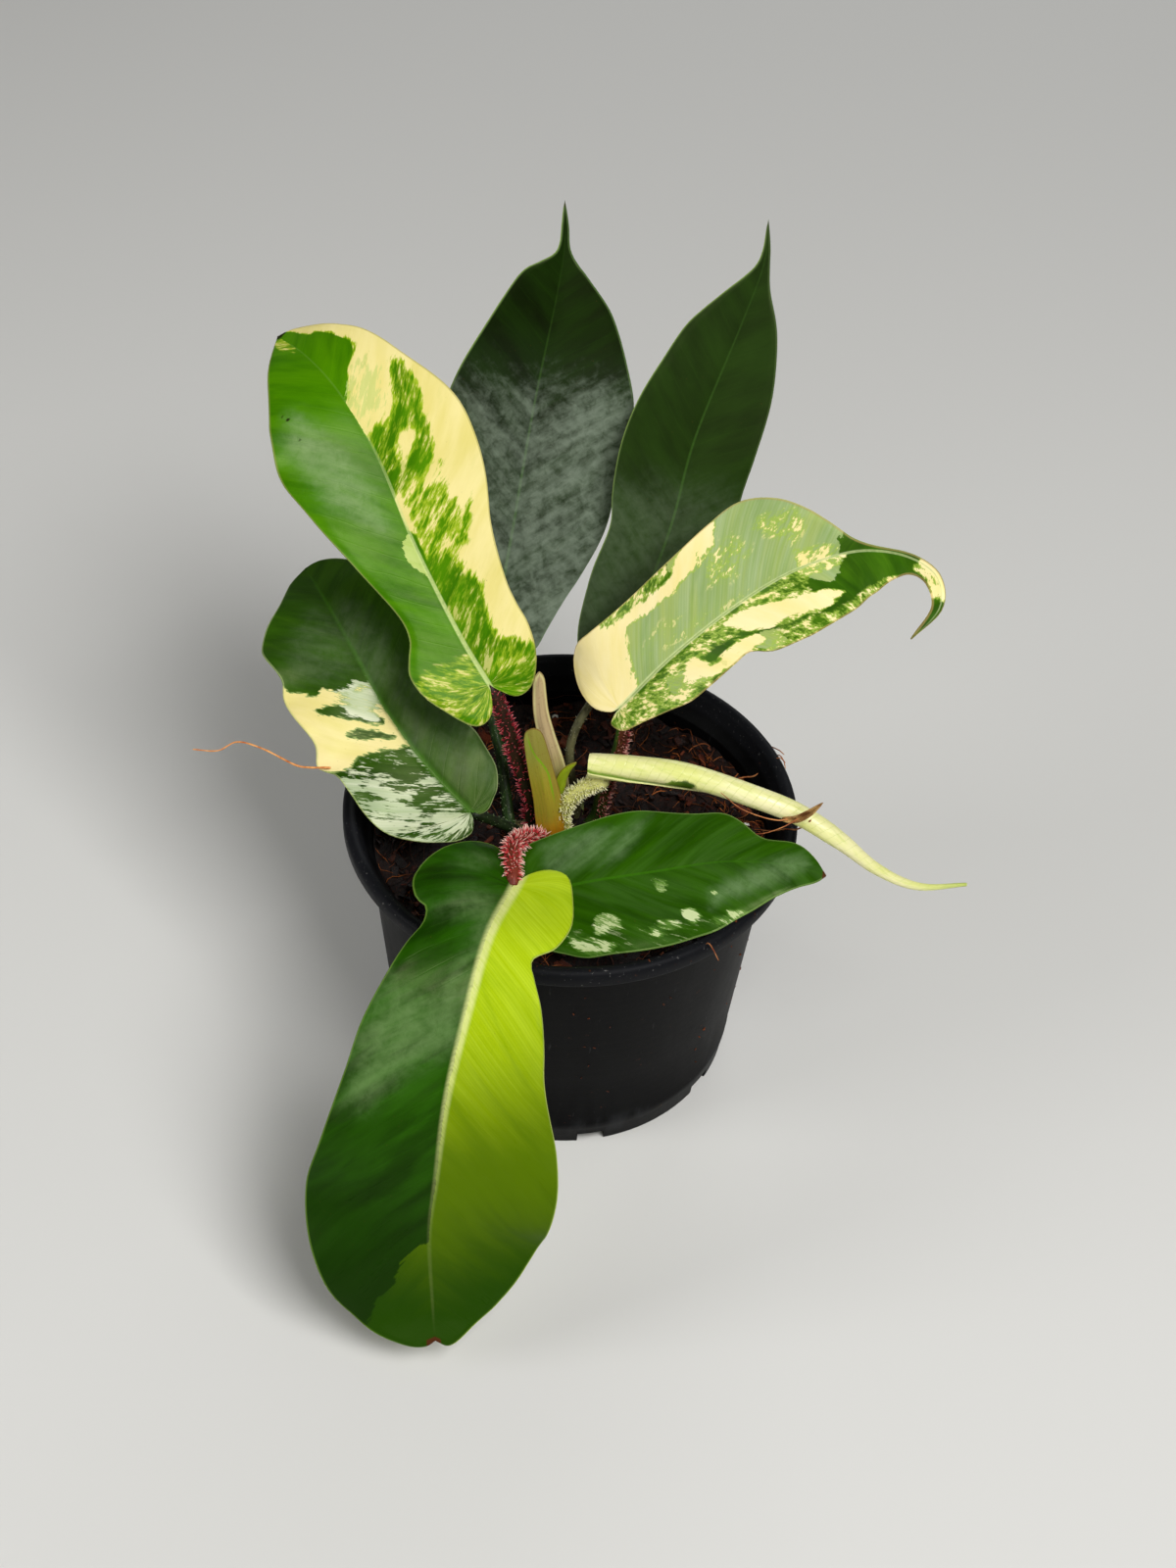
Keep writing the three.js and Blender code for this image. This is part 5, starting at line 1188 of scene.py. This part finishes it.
def bristles(name, spine, radius, count, seed, length, width, low, facing):
    """Bristles all round a stalk, leaning towards the blade, from the share low of its length."""
    draw = np.random.default_rng(seed)
    shape, faces = BRISTLE
    tall = shape[:, 2].max()
    rise = shape[:, [2]] / tall
    u = np.sort(low + (0.97 - low) * (np.arange(count) + draw.random(count)) / count)
    t, a, b = spine.frames(u)
    centre = spine.at(u)
    heap = Heap()
    for i in range(count):
        angle = draw.random() * 2 * math.pi
        out = a[i] * math.cos(angle) + b[i] * math.sin(angle)
        r = radius(u[i], angle)
        reach = length * draw.uniform(0.6, 1.15) * (0.55 + 0.45 * min(1, 6 * (1 - u[i])))
        thick = width * draw.uniform(0.75, 1.2)
        tilt = draw.uniform(0.1, 0.7)
        sway = np.cross(t[i], out) * draw.normal(0, 0.28)
        up = unit(out + t[i] * tilt + sway)
        if centre[i][2] + r * out[2] < SOIL_LEVEL + 1 or out[0] < facing:
            continue
        x_axis = unit(t[i] - up * (t[i] @ up))
        y_axis = np.cross(up, x_axis)
        spin = draw.normal(0, 0.5)
        x_axis, y_axis = (x_axis * math.cos(spin) + y_axis * math.sin(spin),
            y_axis * math.cos(spin) - x_axis * math.sin(spin))
        root = centre[i] + out * (r - BRISTLE_ROOT)
        placed = (root + shape[:, [0]] * thick * x_axis + shape[:, [1]] * thick * y_axis
            + rise * (reach + BRISTLE_ROOT) * up + rise ** 2 * draw.normal(0.12, 0.2) * reach * x_axis)
        fields = np.zeros((len(shape), 4))
        fields[:, 0] = rise[:, 0]
        fields[:, 1:] = draw.random(), 1, u[i]
        heap.add(placed, faces, fields)
    return heap.piece(name)


def stalk(name, skin, count, seed, length, width, slot, low=0.05, facing=-2):
    """A tapered petiole, a little wider at its foot, with its bristles; facing -2 is all round."""
    spec = STALKS[name]
    spine = Spine(spec["points"])
    first, last = spec["radii"]

    def radius(u, turn):
        body = first + (last - first) * u
        flare = 1 + 0.25 * math.exp(-u * 14) - 0.3 * smooth(u, 0.95, 1.0)
        return body * flare * (1 + 0.035 * math.cos(2 * turn + 4 * u) + 0.02 * math.sin(5 * turn + 9 * u))

    core = tube(name + "_core", spine, radius, max(24, int(spine.length * 0.8)), 18)
    hairs = bristles(name + "_bristles", spine, radius, count, seed, length, width, low, facing)
    piece = tidy(joined(name + "_bristly", [core, hairs]), merge=0.001, angle=60)
    return dress(piece, skin, slot=slot, replaces=[name])


# Leaves
def grow_leaf(name, number, gloss, sheen_bands, stripes, slot):
    """A leaf's blade with its upper and under skins."""
    spec = LEAVES[name]
    surface = {k: spec[k] for k in ("rib", "face", "cup", "wave")}
    piece = blade(name + "_blade_fine", surface, spec["left"], spec["right"], name)
    length, shift = Spine(spec["rib"]).length, number * PATTERN_SHIFT
    upper = leaf_skin(name + "_upper_skin", length, TONES[name], RIBS[name], gloss, sheen_bands, stripes, shift)
    tone = dict(UNDER, **UNDER_TONES.get(name, {}))
    lower = leaf_skin(name + "_under_skin", length, tone, UNDER_RIB, 0.5, sheen_bands / 2, stripes, shift, 0.3)
    return dress(piece, upper, lower, slot=slot, replaces=[name + "_blade"])


for name, number, gloss, sheen_bands, stripes, slot in (
    ("leaf_1", 1, 0.3, 0.3, 0.25, "leaf_variegated"),
    ("leaf_2", 2, 0.38, 0.15, 0.3, "leaf_green"),
    ("leaf_3", 3, 0.44, 0.15, 0.3, "leaf_green"),
    ("leaf_4", 4, 0.36, 0.3, 0.8, "leaf_variegated"),
    ("leaf_5", 5, 0.36, 0.3, 0.6, "leaf_variegated"),
    ("leaf_6", 6, 0.31, 0.3, 0.25, "leaf_green"),
    ("leaf_7", 7, 0.3, 0.4, 0.9, "leaf_variegated"),
):
    grow_leaf(name, number, gloss, sheen_bands, stripes, slot)

# Each skin's colours: foot, top, specks, and bristles from root to tip
red_stalk = stalk_skin("red_stalk_skin", "#1c2408", "#2e1608", "#6a3a24", "#98222e", "#ec7f84",
    pale_from=0.45)
pink_stalk = stalk_skin("pink_stalk_skin", "#4a2a10", "#7a3020", "#b07850", "#c83c40", "#ffd8c8",
    pale_from=0.32)
mixed_stalk = stalk_skin("mixed_stalk_skin", "#243c08", "#5a2a18", "#96683c", "#8c2832", "#f0b8a4",
    flank="#2c5008")
green_stalk = stalk_skin("green_stalk_skin", "#1c3408", "#284c10", "#8a9c6a", "#6a8a48", "#d8e0bc")
dark_stalk = stalk_skin("dark_stalk_skin", "#0c1606", "#16260a", "#4c5c34", "#3c5428", "#8c9c70")
grey_stalk = stalk_skin("grey_stalk_skin", "#38361c", "#6c6a48", "#8c8a66", "#7a785a", "#b8b89a")
cream_stalk = stalk_skin("cream_stalk_skin", "#bcbc5a", "#d2d080", "#ece6a4", "#ccd068", "#f8f4c8",
    pale_from=0.12, shade=0.1)

stalk("leaf_1_petiole", red_stalk, 520, 11, 2.0, 0.28, "petiole_red", low=0.1)
stalk("leaf_2_petiole", green_stalk, 170, 12, 0.7, 0.2, "petiole_green")
stalk("leaf_3_petiole", grey_stalk, 110, 13, 0.8, 0.18, "petiole_green")
stalk("leaf_4_petiole", mixed_stalk, 620, 14, 1.8, 0.24, "petiole_red", low=0.12, facing=-0.5)
stalk("leaf_5_petiole", dark_stalk, 90, 15, 0.7, 0.2, "petiole_green")
stalk("leaf_6_petiole", green_stalk, 160, 16, 1.1, 0.24, "petiole_green")
stalk("leaf_7_petiole", pink_stalk, 620, 17, 2.7, 0.34, "petiole_red", low=0.1)
stalk("leaf_8_petiole", cream_stalk, 760, 18, 1.6, 0.28, "petiole_cream", low=0.1)


def rolled_leaf():
    """The quill: one turn and a bit of a blade, its free margin winding along it."""
    spine = Spine(ROLLED_LEAF["points"])
    steps, sides = 110, 44
    u = np.linspace(0, 1, steps + 1)
    u = np.concatenate([[0, 0, 0], u[1:-1], [1, 1]])
    t, a, b = spine.frames(u)
    size = np.interp(u, np.linspace(0, 1, len(ROLLED_LEAF["radii"])), ROLLED_LEAF["radii"])

    # A rounded foot and a closed tip
    inset = np.ones(len(u))
    inset[[0, 1, 2, -1]] = 0, 0.72, 0.95, 0
    shift = np.zeros(len(u))
    shift[[1, 2]] = 0.9, 0.25

    # Each turn ends further in than it starts, and its last three columns close the step
    j = np.concatenate([np.linspace(0, 1, sides), [1.0, 1.0, 0.0]])
    thin = 1 - ROLLED_LEAF["overlap"] * j
    thin[-3:] = 0.8, 0.86, 1.0
    turn = j * 2 * np.pi
    wind = ROLLED_LEAF["twist"] * 2 * u
    angle = turn[None, :] + wind[:, None]
    lip = 1 + 0.03 * np.sin(u * 31)[:, None] * np.exp(-(turn[None, :] / 0.5) ** 2)
    reach = size[:, None] * inset[:, None] * thin[None, :] * lip
    points = (spine.at(u)[:, None] + a[:, None] * (np.cos(angle) * reach)[..., None]
        + b[:, None] * (np.sin(angle) * reach)[..., None])
    points = points + (t * shift[:, None])[:, None]
    run = np.stack(np.broadcast_arrays((u * spine.length / 10)[:, None], (j * 2)[None, :]), -1)
    piece = tidy(laid_grid("leaf_8_quill", points, (("run", run),)), angle=40)
    return dress(piece, rolled_skin(), slot="leaf_new", replaces=["leaf_8_rolled_blade"])


rolled_leaf()

SHEATH_COLOURS = {
    "sheath_front": dict(base="#c07c0c", middle="#a4942c", top="#969a40", line="#808c14",
        slit=("#8a7434", "#7fa818")),
    "sheath_back": dict(base="#6c7028", middle="#9c9654", top="#c4ac80", line="#84684a", shift=3.0,
        rims="#dcd494"),
    "sheath_tip": dict(base="#8c9c14", middle="#a4bc20", top="#b8cc3c", line="#86a01c", shift=5.0),
}
for name, colours in SHEATH_COLOURS.items():
    skin = sheath_skin(name + "_skin", **colours)
    dress(sheath(name + "_fine", SHEATHS[name]), skin, slot="sheath", replaces=[name])


# Stem and roots
def stem():
    """The short stem, ringed by the scars of old leaves."""
    spine = Spine(STEM["points"])

    def radius(u, turn):
        body = np.interp(u, np.linspace(0, 1, 5), STEM["radii"])
        ring = 0.035 * math.sin(u * 60) + 0.03 * noise.noise(Vector((u * 9, math.cos(turn), math.sin(turn))))
        return body * (0.97 + ring)

    piece = tidy(tube("stem_fine", spine, radius, 70, 40))
    dress(piece, bark_skin(), slot="stem_bark", replaces=["stem"])


stem()

# Each thread: its points, and its radius at the start
THREADS = {
    "aerial_roots": [
        ([(-3, 4, 96), (0, 9, 103), (1, 13, 107), (-2, 18, 104), (-5, 22, 99)], 1.0),
        ([(2, 3, 97), (4, 8, 104), (1, 12, 108.5), (4, 17, 107), (8, 21, 100)], 0.8),
        ([(-12, 4, 96), (-10, 9, 102), (-7, 13, 103), (-6, 18, 99)], 0.9),
    ],
    "quill_fibre": [
        ([(74, -22.6, 134), (70, -24, 134.5), (64, -23.5, 135.4), (57, -21, 136.5),
            (50.5, -17, 139.2)], 0.25),
        ([(77, -24, 136), (72, -26.5, 134), (66, -27, 131), (61, -25.5, 128.5)], 0.2),
        ([(81.5, -22, 133.4), (79.8, -19, 127.3), (78, -14, 120.4), (75, -9.5, 115.8), (71.5, -5.5, 110.5),
            (67, 2, 103), (63.4, 6, 99.6)], 0.3),
    ],
    "rim_fibre": [
        ([(58.4, 41.1, 100.5), (62, 40.8, 102.5), (65.6, 41.7, 103), (69, 40.5, 108), (73.2, 33.5, 113.2),
            (75.6, 29, 115)], 0.34),
        ([(59.7, 29.8, 100.5), (62.6, 29.5, 102), (66, 28, 104.5), (70.5, 28, 110), (73.6, 27.7, 114.4),
            (76, 24.5, 115.2)], 0.32),
        ([(62.6, 33.1, 100.5), (67, 32, 102.5), (70.5, 33, 106), (73.5, 31, 112.5), (75.2, 26.2, 115),
            (75.9, 21.5, 115.2)], 0.3),
        ([(45.8, -58, 101.5), (46.8, -60.8, 108), (48, -63, 114.4), (49.7, -66, 115),
            (51.6, -70.5, 114.6)], 0.26),
        ([(60, 37, 100.5), (64, 36, 104), (68.5, 38, 107.5), (70, 34, 109)], 0.2),
    ],
}


def thread(name, points, size, sides):
    """A slightly lumpy thread that thins to about half."""
    spine = Spine(points)

    def radius(u, turn):
        return size * (1 - 0.45 * u) * (1 + 0.08 * math.sin(u * 40 + turn))

    return tube(name, spine, radius, max(16, int(spine.length)), sides)


def threads(name, skin, slot, sides=8):
    """One piece of all the threads that share a name."""
    parts = []
    for i, (points, size) in enumerate(THREADS[name]):
        parts.append(thread("%s_%d" % (name, i), points, size, sides))
    return dress(tidy(joined(name, parts), merge=0.001), skin, slot=slot)


threads("aerial_roots", dry_skin("aerial_root_skin", "#3e4a1c", "#7c8448"), "stem_bark", 10)
fibre_skin = dry_skin("quill_fibre_skin", "#8c4424", "#d08c54")
threads("quill_fibre", fibre_skin, "dry_plant")
threads("rim_fibre", fibre_skin, "husk_mix")


def dry_root():
    """The loose, knotty fibre held by leaf 5."""
    def radius(u, turn):
        return (0.38 - 0.16 * u) * (1 + 0.1 * math.sin(u * 60) + 0.06 * math.sin(3 * turn))

    piece = tidy(tube("dry_root_fine", Spine(DRY_ROOT), radius, 110, 8))
    dress(piece, dry_skin("dry_root_skin", "#b45614", "#f0ac64"), slot="dry_plant", replaces=["dry_root"])


def dry_flake():
    """The husk flake on the rolled leaf, curled up more than the solid."""
    curled = dict(DRY_FLAKE, half=[(x, w * 0.7) for x, w in DRY_FLAKE["half"]], cup=0.8)
    piece = sheath("dry_flake_fine", curled)
    dress(piece, dry_skin("dry_flake_skin", "#6a3c16", "#c09a5c"), slot="dry_plant", replaces=["dry_flake"])


dry_root()
dry_flake()


# Potting mix
def perlite_grain(i, x, y, size):
    """A lumpy white grain, a little flattened, half sunk in the mix."""
    rest()
    bpy.ops.mesh.primitive_ico_sphere_add(subdivisions=4, radius=1)
    piece = named("perlite_grain_%d" % (i + 1))
    z = soil_height(x, y) + 0.9
    for v in piece.data.vertices:
        p = v.co.copy()
        bulge = 0.86 + 0.22 * noise.noise(p * 1.6 + Vector((i * 7, 0, 0))) + 0.07 * noise.noise(p * 6)
        reach = bulge * size
        v.co = Vector((x + p.x * reach, y + p.y * reach * 0.8, z + p.z * reach * 0.75)) * MM
    return tidy(piece, angle=35)


perlite = perlite_skin()
for i, (x, y, size) in enumerate(PERLITE):
    dress(perlite_grain(i, x, y, size), perlite, slot="perlite", replaces=["perlite_%d" % (i + 1)])


def chip_shapes():
    """Three husk chips 1 mm long, each a block bevelled and pulled out of true."""
    shapes = []
    for k, (wide, thick) in enumerate(((0.6, 0.3), (0.42, 0.34), (0.8, 0.22))):
        rest()
        bpy.ops.mesh.primitive_cube_add(size=MM)
        piece = named("chip")
        draw = np.random.default_rng(40 + k)
        begin_edit()
        bpy.ops.transform.resize(value=(1, wide, thick))
        bpy.ops.mesh.bevel(offset=0.09 * MM, segments=1, affect="EDGES")
        end_edit()
        for v in piece.data.vertices:
            end = 1 - 0.45 * abs(v.co.x / MM) * (1 + (k == 1))
            v.co.y *= end
            v.co.z = v.co.z * end + 0.25 * (v.co.x ** 2) / MM * (1 if k else -1)
            v.co += Vector(draw.normal(0, 0.035, 3)) * MM
        shapes.append(model_of(piece))
    return shapes


def turned(draw, tilt):
    """A random turn about the upright axis after a small random tilt."""
    a = Matrix.Rotation(draw.uniform(0, 2 * math.pi), 3, "Z")
    b = Matrix.Rotation(draw.normal(0, tilt), 3, "Y") @ Matrix.Rotation(draw.normal(0, tilt), 3, "X")
    return np.array(a @ b)


CHIP_COUNT = 1500
FIBRE_COUNT = 620
CRUMB_COUNT = 46
FIBRE_TAPER = np.array([0.4, 1, 1, 1, 1, 0.9, 0.7, 0.25])  # thickness at each point of a fibre


def rough_height(x, y):
    """The height of the mix at a place, with its lumps."""
    p = Vector((x * 0.11, y * 0.11, 3.1))
    return (soil_height(x, y) + 1.1 * noise.noise(p) + 0.9 * noise.noise(p * 3.1)
            + 0.6 * noise.noise(p * 8.3) + 0.35 * noise.noise(p * 17))


def mix_bed():
    """The body of the mix: a rough top, and a side and bottom that keep clear of the pot's wall."""
    rings, sides = 58, 150
    radius = np.concatenate([np.linspace(0, 1, rings), [1.0, 0.995, 0.9, 0.87, 0]]) * SOIL_REACH
    turn = np.linspace(0, 2 * np.pi, sides + 1)
    points = np.zeros((len(radius), sides + 1, 3))
    for i, r in enumerate(radius):
        for j, w in enumerate(turn):
            x, y = r * math.cos(w), r * math.sin(w)
            points[i, j] = (x, y, rough_height(x, y) - 0.4)
    points[:, -1] = points[:, 0]
    for i, z in zip(range(rings, len(radius)), (92, 84, 10, 3, 3)):
        room = wall_radius(z) - POT["wall"] - 0.4
        points[i, :, :2] *= min(1, room / max(radius[i], 1))
        points[i, :, 2] = z
    fields = np.zeros(points.shape[:2] + (4,))
    fields[..., 0] = 0.25
    return tidy(laid_grid("mix_bed", points, (), fields), angle=80)


def strew_chips(heap, draw):
    """Husk chips of many sizes, turned and tilted."""
    shapes = chip_shapes()
    for i in range(CHIP_COUNT):
        shape, faces = shapes[i % len(shapes)]
        size = 1.6 + 5.2 * draw.random() ** 2.6
        reach = (SOIL_REACH - size * 0.5) * math.sqrt(draw.random())
        w = draw.uniform(0, 2 * math.pi)
        x, y = reach * math.cos(w), reach * math.sin(w)
        centre = np.array([x, y, rough_height(x, y) + draw.uniform(-0.3, 0.25) * size * 0.3])
        stretch = size * np.array([1, draw.uniform(0.6, 1.3), draw.uniform(0.7, 1.3)])
        placed = centre + (shape * stretch) @ turned(draw, 0.42).T
        heap.add(placed, faces, (draw.random() ** 1.3, 0, draw.random(), 1))


def fibre_path(draw, x, y, length, heading, bend, arch):
    """The points of a fibre that lies on the mix, arches up in its middle and stays within the rim."""
    path = []
    last = len(FIBRE_TAPER) - 1
    for k in range(last + 1):
        over = max(1, math.hypot(x, y) / (SOIL_REACH - 0.3))
        rise = arch * math.sin(math.pi * k / last)
        path.append((x / over, y / over, rough_height(x / over, y / over) + 0.15 + rise))
        x += math.cos(heading) * length / last
        y += math.sin(heading) * length / last
        heading += bend + draw.normal(0, 0.12)
    return np.array(path)


def strew_fibres(heap, draw):
    """Three-sided coco fibres. Every fourth lies near the rim, and every eighth at the right."""
    third = 2.0944
    ring = np.array([(math.cos(k * third), math.sin(k * third)) for k in range(3)])
    last = len(FIBRE_TAPER) - 1
    faces = [(k * 3 + m, k * 3 + (m + 1) % 3, k * 3 + 3 + (m + 1) % 3, k * 3 + 3 + m)
        for k in range(last) for m in range(3)] + [(2, 1, 0), (3 * last, 3 * last + 1, 3 * last + 2)]
    for i in range(FIBRE_COUNT):
        length = draw.uniform(3, 17) if i % 5 else draw.uniform(14, 26)
        share = 0.95 * math.sqrt(draw.random()) if i % 4 else draw.uniform(0.8, 0.97)
        w = draw.uniform(0, 2 * math.pi) if i % 8 else draw.uniform(-0.15, 0.75)
        x, y = share * SOIL_REACH * math.cos(w), share * SOIL_REACH * math.sin(w)
        heading, bend = draw.uniform(0, 2 * math.pi), draw.normal(0, 0.16)
        arch, size = draw.uniform(0, 0.16) * length, draw.uniform(0.09, 0.24)
        path = fibre_path(draw, x, y, length, heading, bend, arch)
        along = unit(np.gradient(path, axis=0) + 1e-9)
        side = unit(np.cross(along, [0, 0, 1]) + 1e-9)
        up = np.cross(side, along)
        girth = (FIBRE_TAPER * size)[:, None, None]
        body = (path[:, None] + side[:, None] * (ring[None, :, :1] * girth)
            + up[:, None] * (ring[None, :, 1:] * girth))
        heap.add(body.reshape(-1, 3), faces, (draw.random(), 1, draw.random(), 1))


def potting_mix():
    """Husk chips and coco fibres strewn over a bed that fills the pot."""
    draw = np.random.default_rng(2204)
    bed = mix_bed()
    heap = Heap()
    strew_chips(heap, draw)
    strew_fibres(heap, draw)
    litter = heap.piece("mix_litter")
    face_outwards(litter)
    piece = joined("potting_mix_fine", [bed, litter])
    return dress(piece, husk_skin(), slot="husk_mix", replaces=["potting_mix"])


potting_mix()


# Pot
def pot_profile():
    """Radius and height of each ring: from under the foot up the outside and down the inside."""
    base, wall, rim, top = POT["base"], POT["wall"], POT["rim"], POT["height"]
    inner, under = rim - POT["rim_width"], top - POT["lip"]
    shoulder, flare = POT["wall_top"], POT["flare"]
    foot = [(base - 3.5, 0.9), (base - 3, 0.25), (base - 1.2, 0), (base - 0.3, 0.35), (base, 1.2)]
    outside = [
        (wall_radius(8), 8), (wall_radius(8.6) + 0.25, 8.6), (wall_radius(12) + 0.25, 12),
        (wall_radius(12.6), 12.6), (wall_radius(40), 40), (wall_radius(75), 75), (wall_radius(99), 99),
        (shoulder, flare),
    ]
    lip = [
        (shoulder + 1.0, under - 1.4), (inner - 1, under), (rim - 1.0, under), (rim - 0.3, under + 0.3),
        (rim, under + 1), (rim - 0.02, top - 3), (rim - 0.1, top - 1.6), (rim - 0.6, top - 0.8),
        (rim - 1.4, top - 0.2), (rim - 2.4, top), (inner + 1.8, top - 0.2), (inner + 1, top - 0.6),
        (inner + 0.3, top - 1.2), (inner, top - 1.8),
    ]
    inside = [
        (inner - 1.4, flare + 5), (inner - 3.2, flare + 1.5), (shoulder - wall, flare),
        (wall_radius(60) - wall, 60), (wall_radius(4.4) - wall, 4.4),
        (wall_radius(2.4) - wall - 2, POT["floor"]),
    ]
    return foot + outside + lip + inside


def cut_drain_slots(piece):
    """Cuts the slots through the foot of the pot."""
    reach = (POT["base"] - DRAIN_SLOTS["inset"]) * MM
    for i in range(DRAIN_SLOTS["count"]):
        turn = (i + DRAIN_SLOTS["first_turn"]) / DRAIN_SLOTS["count"] * 2 * math.pi
        rest()
        bpy.ops.mesh.primitive_cube_add(size=1)
        slot = named("drain_slot")
        slot.scale = Vector(DRAIN_SLOTS["size"]) * MM
        slot.rotation_euler = (0, 0, turn)
        slot.location = (reach * math.cos(turn), reach * math.sin(turn), 0)
        bpy.ops.object.transform_apply(location=True, rotation=True, scale=True)
        hole = piece.modifiers.new("slot", "BOOLEAN")
        hole.operation, hole.object, hole.solver = "DIFFERENCE", slot, "EXACT"
        take(piece)
        bpy.ops.object.modifier_apply(modifier="slot")
        bpy.data.objects.remove(slot)


def pot():
    """The pot, drawn up ring by ring from under its foot and closed at both ends."""
    profile = pot_profile()
    rest()
    bpy.ops.mesh.primitive_circle_add(vertices=144, radius=profile[0][0] * MM, fill_type="NOTHING",
        location=(0, 0, profile[0][1] * MM))
    piece = named("pot_fine")
    bpy.ops.object.transform_apply(location=True, rotation=True, scale=True)
    begin_edit()
    for (r, z), (r2, z2) in zip(profile, profile[1:]):
        bpy.ops.mesh.extrude_region_move(TRANSFORM_OT_translate={"value": (0, 0, (z2 - z) * MM)})
        bpy.ops.transform.resize(value=(r2 / r, r2 / r, 1), center_override=(0, 0, z2 * MM))
    bpy.ops.mesh.edge_face_add()
    bpy.ops.mesh.select_all(action="DESELECT")
    bpy.ops.mesh.select_non_manifold()
    bpy.ops.mesh.edge_face_add()
    end_edit()
    tidy(piece, angle=35)
    cut_drain_slots(piece)
    tidy(piece, merge=0.002, angle=35)
    return dress(piece, pot_skin(), slot="black_plastic", replaces=["pot"])


pot()


def crumbs():
    """Specks of husk stuck to the wall and the rim."""
    draw = np.random.default_rng(91)
    shapes = chip_shapes()
    heap = Heap()
    for i in range(CRUMB_COUNT):
        w = draw.uniform(-2.1, 0.2)
        if i % 3 == 0:
            z, r = POT["height"] - 0.1, draw.uniform(75.5, 78)
        else:
            z = draw.uniform(20, 100)
            r = wall_radius(z)
        shape, faces = shapes[i % 3]
        size = draw.uniform(0.6, 1.5)
        place = np.array([r * math.cos(w), r * math.sin(w), z])
        heap.add(place + (shape * size) @ turned(draw, 0.6).T, faces, (0.75, 0.3, 0, 1))
    piece = tidy(heap.piece("husk_crumbs"), merge=0.0001)
    return dress(piece, bpy.data.materials["husk_mix_skin"], slot="husk_mix")


crumbs()


# Floor, light and camera
rest()
bpy.ops.mesh.primitive_plane_add(size=8)
floor = named("floor")
finish = Finish("floor_skin", Specular_IOR_Level=0.2)
floor.data.materials.append(finish.done("#d9d8d4", 0.85))

world = bpy.data.worlds.new("studio")
world.use_nodes = True
world.node_tree.nodes["Background"].inputs[0].default_value = (1, 0.99, 0.97, 1)
world.node_tree.nodes["Background"].inputs[1].default_value = 0.1
bpy.context.scene.world = world


def softbox(name, place, aim, size, power, colour=(1, 1, 1)):
    """A rectangular lamp: places and sizes in metres, power in watts."""
    light = bpy.data.lights.new(name, "AREA")
    light.shape, light.size, light.size_y = "RECTANGLE", size[0], size[1]
    light.energy, light.color = power, colour
    lamp = bpy.data.objects.new(name, light)
    bpy.context.scene.collection.objects.link(lamp)
    lamp.location = place
    lamp.rotation_euler = (Vector(aim) - Vector(place)).to_track_quat("-Z", "Y").to_euler()


softbox("front_key", (0.6, -0.8, 1.5), (0, 0, 0.12), (0.75, 0.75), 26)
softbox("low_front", (-0.2, -1.5, 0.5), (0, 0, 0.12), (0.8, 0.4), 2)
softbox("left_fill", (-1.3, -0.5, 0.7), (0, 0, 0.12), (0.6, 0.9), 8)
softbox("back_fill", (0.4, 2.2, 1.0), (0, 0, 0.15), (1.2, 0.8), 10, (0.95, 0.98, 1))

# The camera that fits the photo's rim and foot: where it looks (mm), from how far, and its two angles
AIM = np.array([5.6, 0, 123.0])
DISTANCE = 759.0
TILT = math.radians(44.5)
ROLL = math.radians(3.2)
eye = AIM + DISTANCE * np.array([0, -math.cos(TILT), math.sin(TILT)])
ahead = unit(AIM - eye)
right = unit(np.cross(ahead, [0, 0, 1]))
upward = np.cross(right, ahead)
rolled_right = math.cos(ROLL) * right + math.sin(ROLL) * upward
rolled_up = -math.sin(ROLL) * right + math.cos(ROLL) * upward
lens = bpy.data.cameras.new("camera")
lens.lens, lens.sensor_width = 50, 36
lens.clip_start, lens.clip_end = 0.01, 50
camera = bpy.data.objects.new("camera", lens)
bpy.context.scene.collection.objects.link(camera)
turned_to = Matrix([rolled_right, rolled_up, -ahead]).transposed().to_4x4()
camera.matrix_world = Matrix.Translation(Vector(eye * MM)) @ turned_to
bpy.context.scene.camera = camera
bpy.context.scene.view_settings.view_transform = "Standard"
